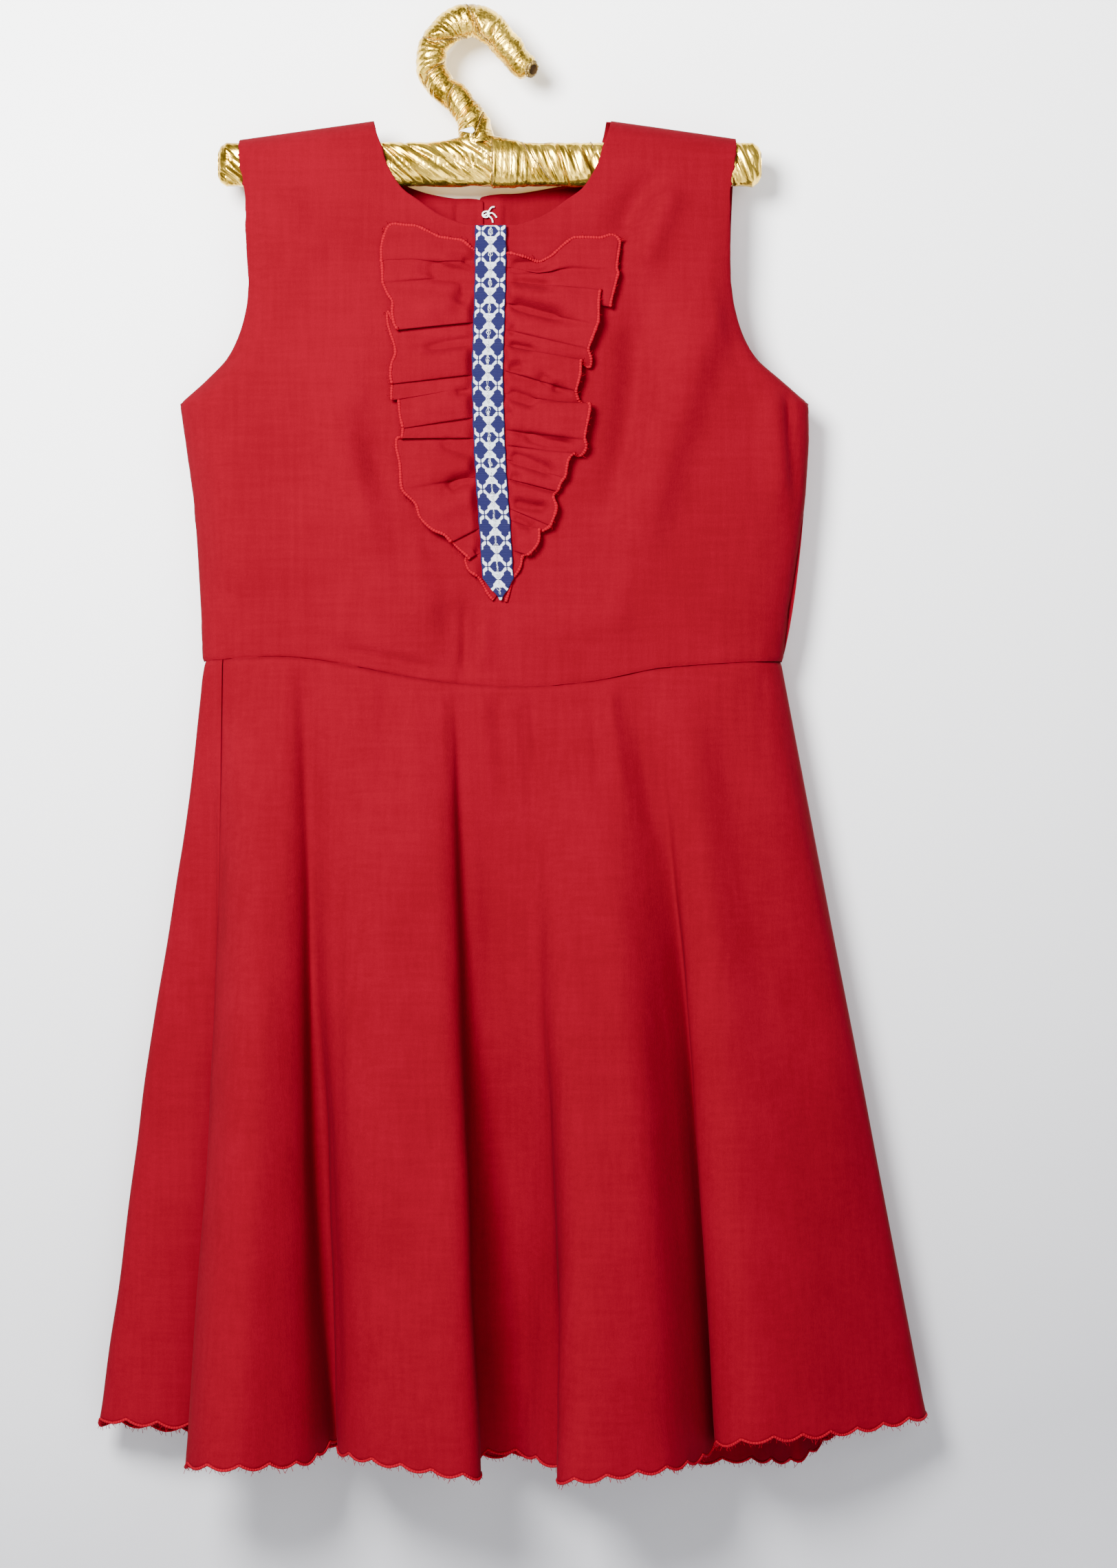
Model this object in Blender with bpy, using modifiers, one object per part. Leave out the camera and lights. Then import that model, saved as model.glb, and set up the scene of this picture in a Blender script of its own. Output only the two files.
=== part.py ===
"""A child's sleeveless folk dress with a frilled jabot, hanging on a wrapped hanger.

Sizes are in millimetres in the tables and metres in the scene. +X is the viewer's
right as the dress faces the viewer, -Y is the front and +Z is up. The origin is the
point where a rail carries the hanger: the underside of the hook's top arc.
"""
import bisect
import math

import bmesh
import bpy
from mathutils import Vector

MM = 0.001

# Cloth and gaps
WALL = 1.4                 # body cloth, drawn out from its inner face
FRILL_WALL = 1.0
RIBBON_WALL = 1.0
SEAM_GAP = 0.3             # between pieces that are sewn together
WAIST_GAP = 0.7            # the skirt's top edge tilts, so it starts a little lower
SIDE_GAP = 0.5             # the skirt's side seams run through curved folds
LAY_GAP = 0.3              # between a piece and what it lies on

# The dress, flat on its hanger
DRESS_AXIS = 10.0          # x of the centre front
WAIST_Z = -320.0
SKIRT_LENGTH = 397.0       # waist seam to hem, along the cloth
SHOULDER_ROUND = 11.4      # radius of the fold over the hanger, and half the depth there
SIDE_ROUND = 8             # power of the rounding towards a side seam

# The hanger
BAR_LEFT = -131.5
BAR_RIGHT = 148.5
BAR_TOP = -54.15
BAR_BOTTOM = -78.2
BAR_DEPTH = 18.0
BAR_ROUND = 8.5
BAR_HUMP = 4.1             # the wrapping is bunched up round the hook's foot
PEG_RADIUS = 2.5           # the hook's core, seated in the bar
PEG_DEPTH = 14.0
HOOK_FOOT = BAR_TOP + BAR_HUMP + SEAM_GAP

# Shoulder seam: distance from the axis and height, at the neck and at the arm
SHOULDER_NECK = (61.0, -43.8)
SHOULDER_ARM = (130.0, -53.5)

# Bodice front, a row for each section from the shoulder to the waist.
# neck: distance of the inner end from the axis; left, right: distance of the outer end
#    neck,  neck z,   left,  right,  outer z
FRONT_ROWS = (
    (61.0, -43.8, 130.0, 125.0, -53.5),
    (60.7, -45.0, 130.0, 125.0, -54.7),
    (60.1, -47.8, 129.8, 124.8, -57.5),
    (58.8, -52.0, 129.5, 124.3, -61.8),
    (56.4, -58.0, 128.8, 123.6, -67.5),
    (54.0, -66.3, 127.2, 122.0, -76.5),
    (47.0, -78.0, 125.8, 121.2, -89.0),
    (38.5, -84.6, 125.6, 121.0, -100.0),
    (27.0, -92.4, 125.0, 121.0, -111.0),
    (13.0, -97.6, 124.3, 121.2, -121.5),
    (0.0, -99.0, 124.2, 121.8, -130.0),
    (0.0, -116.0, 125.8, 124.0, -142.5),
    (0.0, -135.0, 130.0, 128.6, -156.0),
    (0.0, -152.0, 136.5, 136.0, -167.5),
    (0.0, -167.0, 147.5, 149.0, -178.5),
    (0.0, -181.0, 160.0, 161.8, -189.0),
    (0.0, -204.0, 157.4, 162.0, -207.0),
    (0.0, -235.0, 153.4, 160.4, -235.0),
    (0.0, -266.0, 151.0, 156.6, -264.0),
    (0.0, -300.0, 149.2, 151.4, -297.0),
    (0.0, -334.5, 148.4, 148.6, -321.0),
)

# Bodice back; its neckline is cut higher, and slopes a little to one side
#    neck left, z,  neck right, z,   left,  right, outer z
BACK_ROWS = (
    (61.0, -43.8, 61.0, -43.8, 130.6, 125.6, -53.5),
    (60.7, -45.0, 60.7, -45.0, 130.6, 125.6, -54.7),
    (60.1, -47.8, 60.1, -47.8, 130.6, 125.6, -57.5),
    (58.8, -52.0, 58.8, -52.0, 130.4, 125.4, -61.8),
    (55.8, -58.5, 56.0, -58.5, 130.0, 125.0, -67.5),
    (52.4, -66.0, 52.6, -66.0, 129.0, 124.4, -76.5),
    (47.0, -72.6, 46.0, -72.0, 127.6, 123.8, -89.0),
    (36.0, -77.2, 34.0, -74.6, 127.0, 123.4, -100.0),
    (22.0, -80.2, 18.0, -77.4, 126.4, 123.0, -113.0),
    (4.7, -82.4, -4.7, -80.6, 126.0, 122.8, -126.0),
    (4.7, -98.0, -4.7, -98.0, 126.4, 123.6, -137.0),
    (4.7, -118.0, -4.7, -118.0, 129.0, 127.0, -151.0),
    (4.7, -138.0, -4.7, -138.0, 135.0, 134.0, -164.5),
    (4.7, -157.0, -4.7, -157.0, 146.0, 147.0, -177.0),
    (4.7, -178.0, -4.7, -178.0, 160.0, 161.8, -189.0),
    (4.7, -204.0, -4.7, -204.0, 157.4, 162.0, -207.0),
    (4.7, -235.0, -4.7, -235.0, 153.4, 160.4, -235.0),
    (4.7, -266.0, -4.7, -266.0, 151.0, 156.6, -264.0),
    (4.7, -300.0, -4.7, -300.0, 149.2, 151.4, -297.0),
    (4.7, -337.0, -4.7, -337.0, 148.4, 148.6, -321.0),
)
BACK_SPLIT = -4.7          # the centre-back seam lies this far to the left of the axis
SLIT_FOOT = -204.0         # the slit ends here, the seam goes on below
SLIT_WIDTH = 2.4           # at the neck, narrowing to the seam

# Columns from the inner end of a row (0) to its outer end (1)
COLUMNS = (0.0, 0.16, 0.32, 0.48, 0.63, 0.76, 0.86, 0.93, 0.97, 0.992, 1.0)

# Depth of the bodice by height: fullness of front and back, and of the armhole's edges
#     z,     front, back, edge
DEPTHS = (
    (-43.0, 11.4, 11.4, 11.4),
    (-80.0, 11.4, 11.2, 10.8),
    (-110.0, 12.0, 10.6, 9.0),
    (-150.0, 13.4, 10.2, 6.0),
    (-178.0, 14.0, 10.0, 3.0),
    (-189.0, 14.2, 10.0, 0.0),
    (-260.0, 14.6, 10.0, 0.0),
    (-340.0, 14.6, 10.0, 0.0),
)

# Waist seam's height across the dress: x, front, back
WAIST_SEAM = (
    (-140.0, -321.0, -321.0),
    (-96.0, -319.4, -322.5),
    (-62.0, -324.0, -327.5),
    (-26.0, -331.0, -333.5),
    (20.0, -334.8, -337.0),
    (60.0, -332.0, -334.0),
    (96.0, -325.0, -327.0),
    (160.0, -321.0, -321.0),
)

# Skirt folds, a row for each fold line from waist to hem, once round the dress.
# sweep and swell are the powers by which x and y leave the waist: below 1 they leave early.
# longer is how much further the hem hangs there, where the cloth is cut on the bias.
#    waist x, hem x, hem y, sweep, swell, longer
FRONT_FOLDS = (
    (-126.0, -138.5, -27.0, 1.1, 1.2, 14.0),  # flank of the first flute, under its edge
    (-119.0, -143.0, -42.0, 1.15, 1.1, 14.0),  # first flute, left edge
    (-108.0, -134.0, -57.0, 1.05, 0.95, 14.0),
    (-101.0, -118.0, -61.5, 1.0, 0.9, 14.0),  # first flute, crest
    (-95.0, -101.0, -53.0, 1.1, 0.9, 13.0),
    (-89.5, -84.0, -38.0, 1.6, 1.0, 12.0),
    (-86.0, -72.0, -12.0, 2.6, 1.0, 5.0),  # first valley
    (-82.5, -67.0, -13.0, 1.6, 1.0, 5.0),
    (-78.0, -65.5, -36.0, 0.8, 0.9, 6.0),  # second flute, left edge
    (-63.0, -50.0, -55.0, 0.8, 0.85, 6.0),
    (-38.0, -25.0, -64.0, 0.9, 0.85, 5.0),  # second flute, crest
    (-20.0, -6.0, -66.0, 1.0, 0.85, 5.0),
    (-12.5, 4.0, -58.0, 1.2, 0.85, 5.0),  # second flute, right edge
    (-10.0, 0.5, -36.0, 1.2, 0.9, 3.0),
    (-7.0, 3.0, -13.0, 1.3, 1.0, -1.0),  # second valley
    (-1.0, 14.0, -6.5, 1.2, 1.0, -2.0),
    (10.0, 26.0, -9.0, 1.1, 1.1, -2.0),
    (19.0, 38.0, -22.0, 1.0, 1.3, 0.0),  # step in the valley
    (26.0, 49.5, -27.0, 1.0, 1.3, 3.0),
    (30.0, 51.0, -40.0, 0.95, 1.25, 5.0),
    (34.0, 45.0, -58.0, 0.8, 1.15, 5.0),  # third flute, left edge
    (42.0, 56.0, -67.5, 0.8, 1.0, 5.0),  # third flute, crest
    (54.0, 76.0, -65.0, 0.8, 0.9, 4.0),
    (67.0, 98.0, -55.5, 0.75, 0.85, 4.0),
    (76.0, 114.0, -34.0, 0.65, 0.9, 4.0),
    (81.5, 124.5, -12.0, 0.58, 1.0, 1.0),  # third valley
    (85.5, 128.0, -15.0, 0.58, 1.0, 0.0),
    (90.0, 126.0, -34.0, 0.65, 0.85, -1.0),  # fourth flute, left edge
    (102.0, 143.0, -46.0, 0.8, 0.85, -2.0),  # fourth flute, crest
    (120.0, 168.0, -39.5, 0.9, 0.9, -1.0),
    (138.0, 196.0, -26.0, 1.0, 1.0, 0.0),
    (151.0, 219.0, -13.0, 1.0, 1.0, 0.0),
)
RIGHT_SEAM_FOLDS = (
    (157.6, 231.4, -3.5, 1.0, 1.0, 0.0),
    (157.8, 231.6, 5.0, 1.0, 1.0, 0.0),
)
BACK_FOLDS = (
    (153.5, 222.0, 11.5, 1.0, 1.0, 2.0),
    (143.0, 203.0, 14.5, 1.0, 1.0, 2.0),
    (134.0, 187.0, 10.0, 1.0, 1.0, 6.0),
    (128.0, 176.0, -7.0, 1.0, 1.0, 10.0),
    (122.5, 166.5, -19.0, 1.0, 1.0, 13.0),  # first fold, pushed in from behind
    (117.0, 156.0, -6.0, 1.0, 1.0, 14.0),
    (110.0, 143.0, 11.0, 1.0, 1.0, 15.0),
    (99.0, 125.0, 16.0, 1.0, 1.0, 15.0),
    (90.0, 105.0, 11.0, 1.0, 1.0, 13.0),
    (84.5, 94.0, -10.0, 1.0, 1.0, 10.0),
    (79.0, 85.0, -29.0, 1.0, 1.0, 6.0),  # second fold
    (73.5, 75.0, -10.0, 1.0, 1.0, 2.0),
    (67.0, 62.0, 11.0, 1.0, 1.0, 2.0),
    (55.0, 42.0, 15.5, 1.0, 1.0, 2.0),
    (42.0, 20.0, 15.0, 1.0, 1.0, 2.0),
    (30.0, 0.0, 10.0, 1.0, 1.0, 2.0),
    (23.0, -10.5, -9.0, 1.0, 1.0, 2.0),
    (17.0, -20.0, -32.0, 1.0, 1.0, 2.0),  # third fold
    (10.0, -30.5, -8.0, 1.0, 1.0, 2.0),
    (1.0, -43.0, 11.0, 1.0, 1.0, 2.0),
    (-14.0, -64.0, 15.5, 1.0, 1.0, 2.0),
    (-30.0, -83.0, 11.5, 1.0, 1.0, 2.0),
    (-41.0, -95.0, -7.0, 1.0, 1.0, 2.0),
    (-50.0, -104.5, -26.0, 1.0, 1.0, 2.0),  # fourth fold
    (-59.0, -114.5, -5.0, 1.0, 1.0, 2.0),
    (-72.0, -128.0, 11.0, 1.0, 1.0, 4.0),
    (-92.0, -148.0, 15.0, 1.0, 1.0, 6.0),
    (-114.0, -170.0, 13.0, 1.0, 1.0, 5.0),
    (-131.0, -186.0, 9.5, 1.0, 1.0, 2.0),
    (-138.2, -191.5, 3.5, 0.97, 1.0, 2.0),  # left edge
)
WRAP_FOLDS = (
    (-138.0, -188.0, -4.5, 0.97, 1.0, -2.0),  # the back comes round to the front
    (-136.6, -173.0, -9.5, 1.0, 1.0, -3.0),
    (-134.6, -152.0, -10.5, 1.0, 1.0, -3.0),
    (-132.4, -133.0, -10.0, 1.0, 1.0, -2.0),
    (-130.0, -127.5, -16.0, 1.05, 1.1, 3.0),
)

# Rows of the skirt, as fractions of its length
SKIRT_ROWS = (0.0, 0.04, 0.12, 0.24, 0.38, 0.53, 0.69, 0.85, 0.965)
SCALLOP_PITCH = 16.0
SCALLOP_DEPTH = 2.8
SCALLOP_STEPS = 4

# Ribbon: its centre line from the neck to the point
#     z,     x
RIBBON_LINE = (
    (-98.4, 9.2),
    (-128.0, 9.0),
    (-154.0, 8.2),
    (-174.5, 7.7),
    (-201.0, 8.3),
    (-222.0, 9.2),
    (-242.0, 10.6),
    (-262.0, 12.0),
    (-276.0, 12.8),
    (-290.5, 14.4),
)
RIBBON_WIDTH = 16.0
RIBBON_POINT = 11.0
RIBBON_ROWS = 18

# Frills: where each row leaves the ribbon and where its outer corner or edge lies
#   ribbon z, edge x, edge z
LEFT_FRILL = (
    (-109.5, -44.6, -94.5),
    (-119.0, -47.3, -105.0),
    (-128.0, -45.6, -117.5),
    (-138.0, -46.0, -130.0),
    (-147.0, -40.6, -143.0),
    (-156.0, -39.6, -155.0),
    (-168.0, -41.0, -171.0),
    (-181.0, -41.6, -182.5),
    (-194.0, -39.4, -196.0),
    (-207.0, -37.6, -210.0),
    (-220.0, -36.4, -223.0),
    (-234.0, -31.0, -238.0),
    (-248.0, -24.6, -249.5),
    (-260.0, -12.0, -259.0),
    (-270.0, -2.6, -268.5),
    (-279.0, 3.2, -279.0),
    (-288.0, 9.8, -288.6),
)
RIGHT_FRILL = (
    (-113.0, 71.5, -99.5),
    (-122.0, 76.5, -107.0),
    (-131.0, 73.0, -117.0),
    (-140.0, 75.0, -127.0),
    (-150.0, 71.5, -139.0),
    (-160.0, 66.5, -151.5),
    (-171.0, 62.5, -167.0),
    (-182.0, 58.6, -179.0),
    (-194.0, 60.2, -190.5),
    (-206.0, 59.4, -204.5),
    (-217.0, 55.0, -215.0),
    (-228.0, 51.5, -226.0),
    (-240.0, 45.4, -238.0),
    (-251.0, 40.0, -250.0),
    (-262.0, 32.0, -261.5),
    (-273.0, 26.0, -273.0),
    (-284.0, 21.0, -288.0),
)
FRILL_INNER = 1.4          # the frill starts this far from the ribbon's centre line
FRILL_GATHERS = 26         # small gathers at the ribbon, each side
FRILL_WAVES = 12           # waves at the outer edge, each side
GATHER_STEPS = 3           # rows for each gather
GATHER_HEIGHT = 1.0
UNDER_GATHER = 0.3         # height of a gather under the ribbon
RIBBON_CLEAR = 0.8         # the frill stays down this far beyond the ribbon's edge
UNDER_MOST = 0.45          # largest share of a frill's width that lies under the ribbon
FRILL_RISE = 6.0           # and reaches its full height over this distance
FRILL_PUFF = 2.2           # how far the frill rises beside the ribbon
EDGE_WAVE = 5.2
#   share of the width, gather share, puff share, wave share
FRILL_COLUMNS = (
    (0.0, 0.0, 0.0, 0.0),
    (0.001, 0.0, 0.0, 0.0),
    (0.16, 1.0, 1.0, 0.12),
    (0.42, 0.6, 0.9, 0.40),
    (0.72, 0.25, 0.6, 0.75),
    (1.0, 0.0, 0.3, 1.0),
)

# Hook: centre line and radius, from the core's foot to the tip
#     x,     z,  radius
HOOK_LINE = (
    (1.7, HOOK_FOOT - PEG_DEPTH, PEG_RADIUS),
    (1.7, HOOK_FOOT - 0.1, PEG_RADIUS),
    (1.7, HOOK_FOOT, 7.2),
    (0.9, -45.0, 7.2),
    (-1.0, -40.6, 7.0),
    (-7.8, -31.6, 7.0),
    (-16.0, -24.5, 7.0),
    (-20.7, -18.0, 7.0),
    (-21.9, -11.2, 7.1),
    (-19.9, -3.3, 7.4),
    (-14.8, 3.6, 8.0),
    (-7.8, 8.2, 8.5),
    (-0.7, 9.1, 8.8),
    (6.4, 7.4, 8.4),
    (13.4, 1.6, 7.8),
    (19.3, -5.7, 7.1),
    (25.2, -12.7, 6.5),
    (30.2, -16.6, 5.6),
)

# Bar sections: x, share of the hump, how much smaller all round
BAR_SECTIONS = (
    (BAR_LEFT, 0.0, 4.5),
    (BAR_LEFT + 1.4, 0.0, 1.8),
    (BAR_LEFT + 4.5, 0.0, 0.0),
    (-24.0, 0.0, 0.0),
    (-14.0, 0.35, 0.0),
    (-6.0, 0.83, 0.0),
    (1.7, 1.0, 0.0),
    (9.0, 0.83, 0.0),
    (18.0, 0.35, 0.0),
    (28.0, 0.0, 0.0),
    (BAR_RIGHT - 4.5, 0.0, 0.0),
    (BAR_RIGHT - 1.4, 0.0, 1.8),
    (BAR_RIGHT, 0.0, 4.5),
)

# The knotted thread at the centre back, on the inner face of the back
TIE_CENTRE = (7.0, -89.0)
THREAD = 0.9               # thickness of a strand
KNOT_RADIUS = 1.3
#       x,    z,  from the knot's centre, in pairs from root to tip
TIE_ENDS = (
    ((0.3, 0.5), (2.6, 3.6), (4.4, 4.4)),
    ((0.5, 0.1), (3.2, 0.2), (5.0, -0.6)),
    ((0.3, -0.5), (2.2, -3.0), (4.6, -3.6)),
    ((-0.5, 0.1), (-2.6, 0.6), (-3.8, -0.6)),
)

RED = (0.56, 0.012, 0.028, 1.0)
GOLD = (0.62, 0.42, 0.14, 1.0)
NAVY = (0.03, 0.045, 0.21, 1.0)
WHITE = (0.85, 0.85, 0.85, 1.0)


def clear_scene():
    for thing in list(bpy.data.objects):
        bpy.data.objects.remove(thing, do_unlink=True)


def new_collection(name):
    group = bpy.data.collections.new(name)
    bpy.context.scene.collection.children.link(group)
    return group


def plain_material(name, colour, roughness, metallic=0.0):
    material = bpy.data.materials.new(name)
    material.use_nodes = True
    shader = material.node_tree.nodes["Principled BSDF"]
    shader.inputs["Base Color"].default_value = colour
    shader.inputs["Roughness"].default_value = roughness
    shader.inputs["Metallic"].default_value = metallic
    return material


def add_object(name, mesh, group, material, smooth=True):
    thing = bpy.data.objects.new(name, mesh)
    group.objects.link(thing)
    mesh.materials.append(material)
    if smooth:
        mesh.shade_smooth()
    return thing


def mix(low, high, share):
    return low + (high - low) * share


def from_table(table, key, column):
    """The table's column at a key in its first column, which runs up or down."""
    rows = table if table[0][0] < table[-1][0] else table[::-1]
    if key <= rows[0][0]:
        return rows[0][column]
    if key >= rows[-1][0]:
        return rows[-1][column]
    index = bisect.bisect_right([row[0] for row in rows], key)
    low = rows[index - 1]
    high = rows[index]
    share = (key - low[0]) / (high[0] - low[0])
    return mix(low[column], high[column], share)


def smooth_between(before, low, high, after, share):
    """Cubic through four neighbours, read between the middle two."""
    square = share * share
    cube = square * share
    return 0.5 * (2.0 * low + (high - before) * share
                  + (2.0 * before - 5.0 * low + 4.0 * high - after) * square
                  + (3.0 * low - before - 3.0 * high + after) * cube)


def smooth_from_table(table, key, column):
    """As from_table, on a smooth curve."""
    rows = table if table[0][0] < table[-1][0] else table[::-1]
    keys = [row[0] for row in rows]
    index = min(max(bisect.bisect_right(keys, key), 1), len(rows) - 1)
    low = rows[index - 1]
    high = rows[index]
    before = rows[max(index - 2, 0)]
    after = rows[min(index + 1, len(rows) - 1)]
    share = min(max((key - low[0]) / (high[0] - low[0]), 0.0), 1.0)
    return smooth_between(before[column], low[column], high[column], after[column], share)


# Bodice

HALF_WIDTHS = {
    -1: tuple((row[4], row[2]) for row in FRONT_ROWS),
    1: tuple((row[4], row[3]) for row in FRONT_ROWS),
}


def shoulder_height(x):
    """Height of the shoulder line over a point."""
    away = abs(x - DRESS_AXIS)
    slope = (SHOULDER_ARM[1] - SHOULDER_NECK[1]) / (SHOULDER_ARM[0] - SHOULDER_NECK[0])
    return SHOULDER_NECK[1] + slope * (away - SHOULDER_NECK[0])


def bodice_depth(x, z, column):
    """Distance of the bodice's inner face from the middle plane, column 1 front or 2 back."""
    side = -1 if x < DRESS_AXIS else 1
    share = min(abs(x - DRESS_AXIS) / from_table(HALF_WIDTHS[side], z, 1), 1.0)
    edge = from_table(DEPTHS, z, 3)
    full = from_table(DEPTHS, z, column)
    depth = edge + (full - edge) * math.sqrt(1.0 - share ** SIDE_ROUND)
    drop = shoulder_height(x) - z
    if drop < SHOULDER_ROUND:
        depth *= math.sqrt(max(1.0 - (1.0 - max(drop, 0.0) / SHOULDER_ROUND) ** 2, 0.0))
    return max(depth, SEAM_GAP / 2.0)


def front_y(x, z):
    return -bodice_depth(x, z, 1)


def back_y(x, z):
    return bodice_depth(x, z, 2)


def row_height(inner_z, outer_z, share, x, column, weight):
    """Height in a row; rows near the waist take on the curve of the waist seam."""
    straight = mix(inner_z, outer_z, share)
    return mix(straight, smooth_from_table(WAIST_SEAM, x, column), weight)


def waist_weight(outer_z):
    """How far a row follows the waist seam: 0 at the underarm, 1 at the waist."""
    top = -189.0
    foot = -321.0
    return min(max((top - outer_z) / (top - foot), 0.0), 1.0) ** 2


def front_grid(side):
    """Rows of points of one half of the bodice front, from the axis outwards."""
    grid = []
    for neck, neck_z, left, right, outer_z in FRONT_ROWS:
        outer = left if side < 0 else right
        row = []
        for share in COLUMNS:
            x = DRESS_AXIS + side * mix(neck, outer, share)
            z = row_height(neck_z, outer_z, share, x, 1, waist_weight(outer_z))
            row.append((x, front_y(x, z), z))
        grid.append(row)
    return grid


def slit_half(z):
    """Half the gap at the centre back: the slit above, the seam below."""
    share = min(max((z - SLIT_FOOT) / (BACK_ROWS[9][1] - SLIT_FOOT), 0.0), 1.0)
    return mix(SEAM_GAP, SLIT_WIDTH, share) / 2.0


def back_grid(side):
    """Rows of points of one bodice back, from the centre back outwards."""
    grid = []
    for neck_left, z_left, neck_right, z_right, left, right, outer_z in BACK_ROWS:
        neck = neck_left if side < 0 else neck_right
        neck_z = z_left if side < 0 else z_right
        outer = left if side < 0 else right
        row = []
        for share in COLUMNS:
            x = DRESS_AXIS + side * mix(neck, outer, share)
            if share == 0.0 and side * neck == BACK_SPLIT:
                x += side * slit_half(neck_z)
            z = row_height(neck_z, outer_z, share, x, 2, waist_weight(outer_z))
            row.append((x, back_y(x, z), z))
        grid.append(row)
    return grid


def grid_faces(first, rows, columns, flip):
    """Quads of a grid whose points start at an index."""
    faces = []
    for row in range(rows - 1):
        for column in range(columns - 1):
            corner = first + row * columns + column
            quad = (corner, corner + 1, corner + columns + 1, corner + columns)
            faces.append(quad[::-1] if flip else quad)
    return faces


def welded_mesh(name, points, faces):
    """A mesh in metres from points in millimetres, with shared points joined."""
    mesh = bpy.data.meshes.new(name)
    mesh.from_pydata([Vector(point) * MM for point in points], [], faces)
    work = bmesh.new()
    work.from_mesh(mesh)
    bmesh.ops.remove_doubles(work, verts=work.verts, dist=0.00001)
    work.to_mesh(mesh)
    work.free()
    return mesh


def cloth_object(name, points, faces, wall, group, material):
    """An open surface in millimetres, given its thickness outwards."""
    thing = add_object(name, welded_mesh(name, points, faces), group, material)
    thickness = thing.modifiers.new("wall", "SOLIDIFY")
    thickness.thickness = wall * MM
    thickness.offset = 1.0
    thickness.use_rim = True
    return thing


def build_bodice(group, red):
    points = []
    faces = []
    width = len(COLUMNS)
    for side in (-1, 1):
        grid = front_grid(side)
        faces += grid_faces(len(points), len(grid), width, side > 0)
        points += [point for row in grid for point in row]
    cloth_object("bodice_front", points, faces, WALL, group, red)
    for side, name in ((-1, "bodice_back_left"), (1, "bodice_back_right")):
        grid = back_grid(side)
        points = [point for row in grid for point in row]
        faces = grid_faces(0, len(grid), width, side < 0)
        cloth_object(name, points, faces, WALL, group, red)


# Skirt

FOLDS = ([(fold, True) for fold in FRONT_FOLDS + RIGHT_SEAM_FOLDS[:1]]
         + [(fold, False) for fold in RIGHT_SEAM_FOLDS[1:] + BACK_FOLDS]
         + [(fold, True) for fold in WRAP_FOLDS])
LEFT_SEAM = -0.5                                   # before the first flute
RIGHT_SEAM = len(FRONT_FOLDS) + 0.5                # between the two right seam folds


def fold_point(fold, is_front, share):
    """A fold line's point at a share of the skirt's length."""
    waist_x, hem_x, hem_y, sweep, swell, longer = fold
    waist_z = smooth_from_table(WAIST_SEAM, waist_x, 1 if is_front else 2) - WAIST_GAP
    waist_y = front_y(waist_x, WAIST_Z) if is_front else back_y(waist_x, WAIST_Z)
    across = (hem_x - waist_x) * share ** sweep
    depth = (hem_y - waist_y) * share ** swell
    along = (SKIRT_LENGTH + longer) * share
    fall = math.sqrt(max(along ** 2 - across ** 2 - depth ** 2, 0.0))
    return (waist_x + across, waist_y + depth, waist_z - fall)


def skirt_point(place, share):
    """The skirt's inner face at a place round the waist, counted in fold lines."""
    index = math.floor(place)
    ring = [fold_point(*FOLDS[(index + step) % len(FOLDS)], share) for step in (-1, 0, 1, 2)]
    return tuple(smooth_between(*(point[axis] for point in ring), place - index)
                 for axis in range(3))


def panel_places(start, end):
    """Places of a panel's columns: its two seams, and two for each fold line."""
    first = math.floor(start) + 1
    halves = range(2 * (math.ceil(end) - 1 - first) + 1)
    return [start] + [first + half / 2.0 for half in halves] + [end]


def hem_places(start, end):
    """Places along the hem, evenly spaced along the cloth, for the scallops."""
    samples = 8 * math.ceil(end - start)
    places = [mix(start, end, sample / samples) for sample in range(samples + 1)]
    points = [Vector(skirt_point(place, 1.0)) for place in places]
    lengths = [0.0]
    for before, after in zip(points, points[1:]):
        lengths.append(lengths[-1] + (after - before).length)
    count = round(lengths[-1] / SCALLOP_PITCH) * SCALLOP_STEPS
    table = tuple(zip(lengths, places))
    return [from_table(table, lengths[-1] * step / count, 1) for step in range(count + 1)]


def open_seams(row):
    """The row with its two ends drawn back from the seams by half the gap."""
    ends = []
    for end, inner in ((row[0], row[1]), (row[-1], row[-2])):
        end = Vector(end)
        ends.append(tuple(end + (Vector(inner) - end).normalized() * SIDE_GAP / 2.0))
    return [ends[0]] + row[1:-1] + [ends[1]]


def bridge_faces(upper_first, upper_places, lower_first, lower_places):
    """Triangles between two rows with different columns."""
    faces = []
    upper = 0
    lower = 0
    while upper < len(upper_places) - 1 or lower < len(lower_places) - 1:
        last_lower = lower == len(lower_places) - 1
        last_upper = upper == len(upper_places) - 1
        if last_lower or (not last_upper and upper_places[upper + 1] < lower_places[lower + 1]):
            faces.append((upper_first + upper, lower_first + lower, upper_first + upper + 1))
            upper += 1
        else:
            faces.append((upper_first + upper, lower_first + lower, lower_first + lower + 1))
            lower += 1
    return faces


def build_skirt_panel(name, start, end, group, red):
    places = panel_places(start, end)
    points = []
    for share in SKIRT_ROWS:
        points += open_seams([skirt_point(place, share) for place in places])
    faces = grid_faces(0, len(SKIRT_ROWS), len(places), True)
    edge_places = hem_places(start, end)
    edge = []
    for step, place in enumerate(edge_places):
        x, y, z = skirt_point(place, 1.0)
        notch = 1.0 - math.sin(math.pi * (step % SCALLOP_STEPS) / SCALLOP_STEPS)
        edge.append((x, y, z + notch * SCALLOP_DEPTH))
    last_row = len(points) - len(places)
    faces += bridge_faces(last_row, places, len(points), edge_places)
    points += open_seams(edge)
    cloth_object(name, points, faces, WALL, group, red)


def build_skirt(group, red):
    build_skirt_panel("skirt_front", LEFT_SEAM, RIGHT_SEAM, group, red)
    build_skirt_panel("skirt_back", RIGHT_SEAM, len(FOLDS) + LEFT_SEAM, group, red)


# Jabot

def ribbon_x(z):
    return smooth_from_table(RIBBON_LINE, z, 1)


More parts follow.
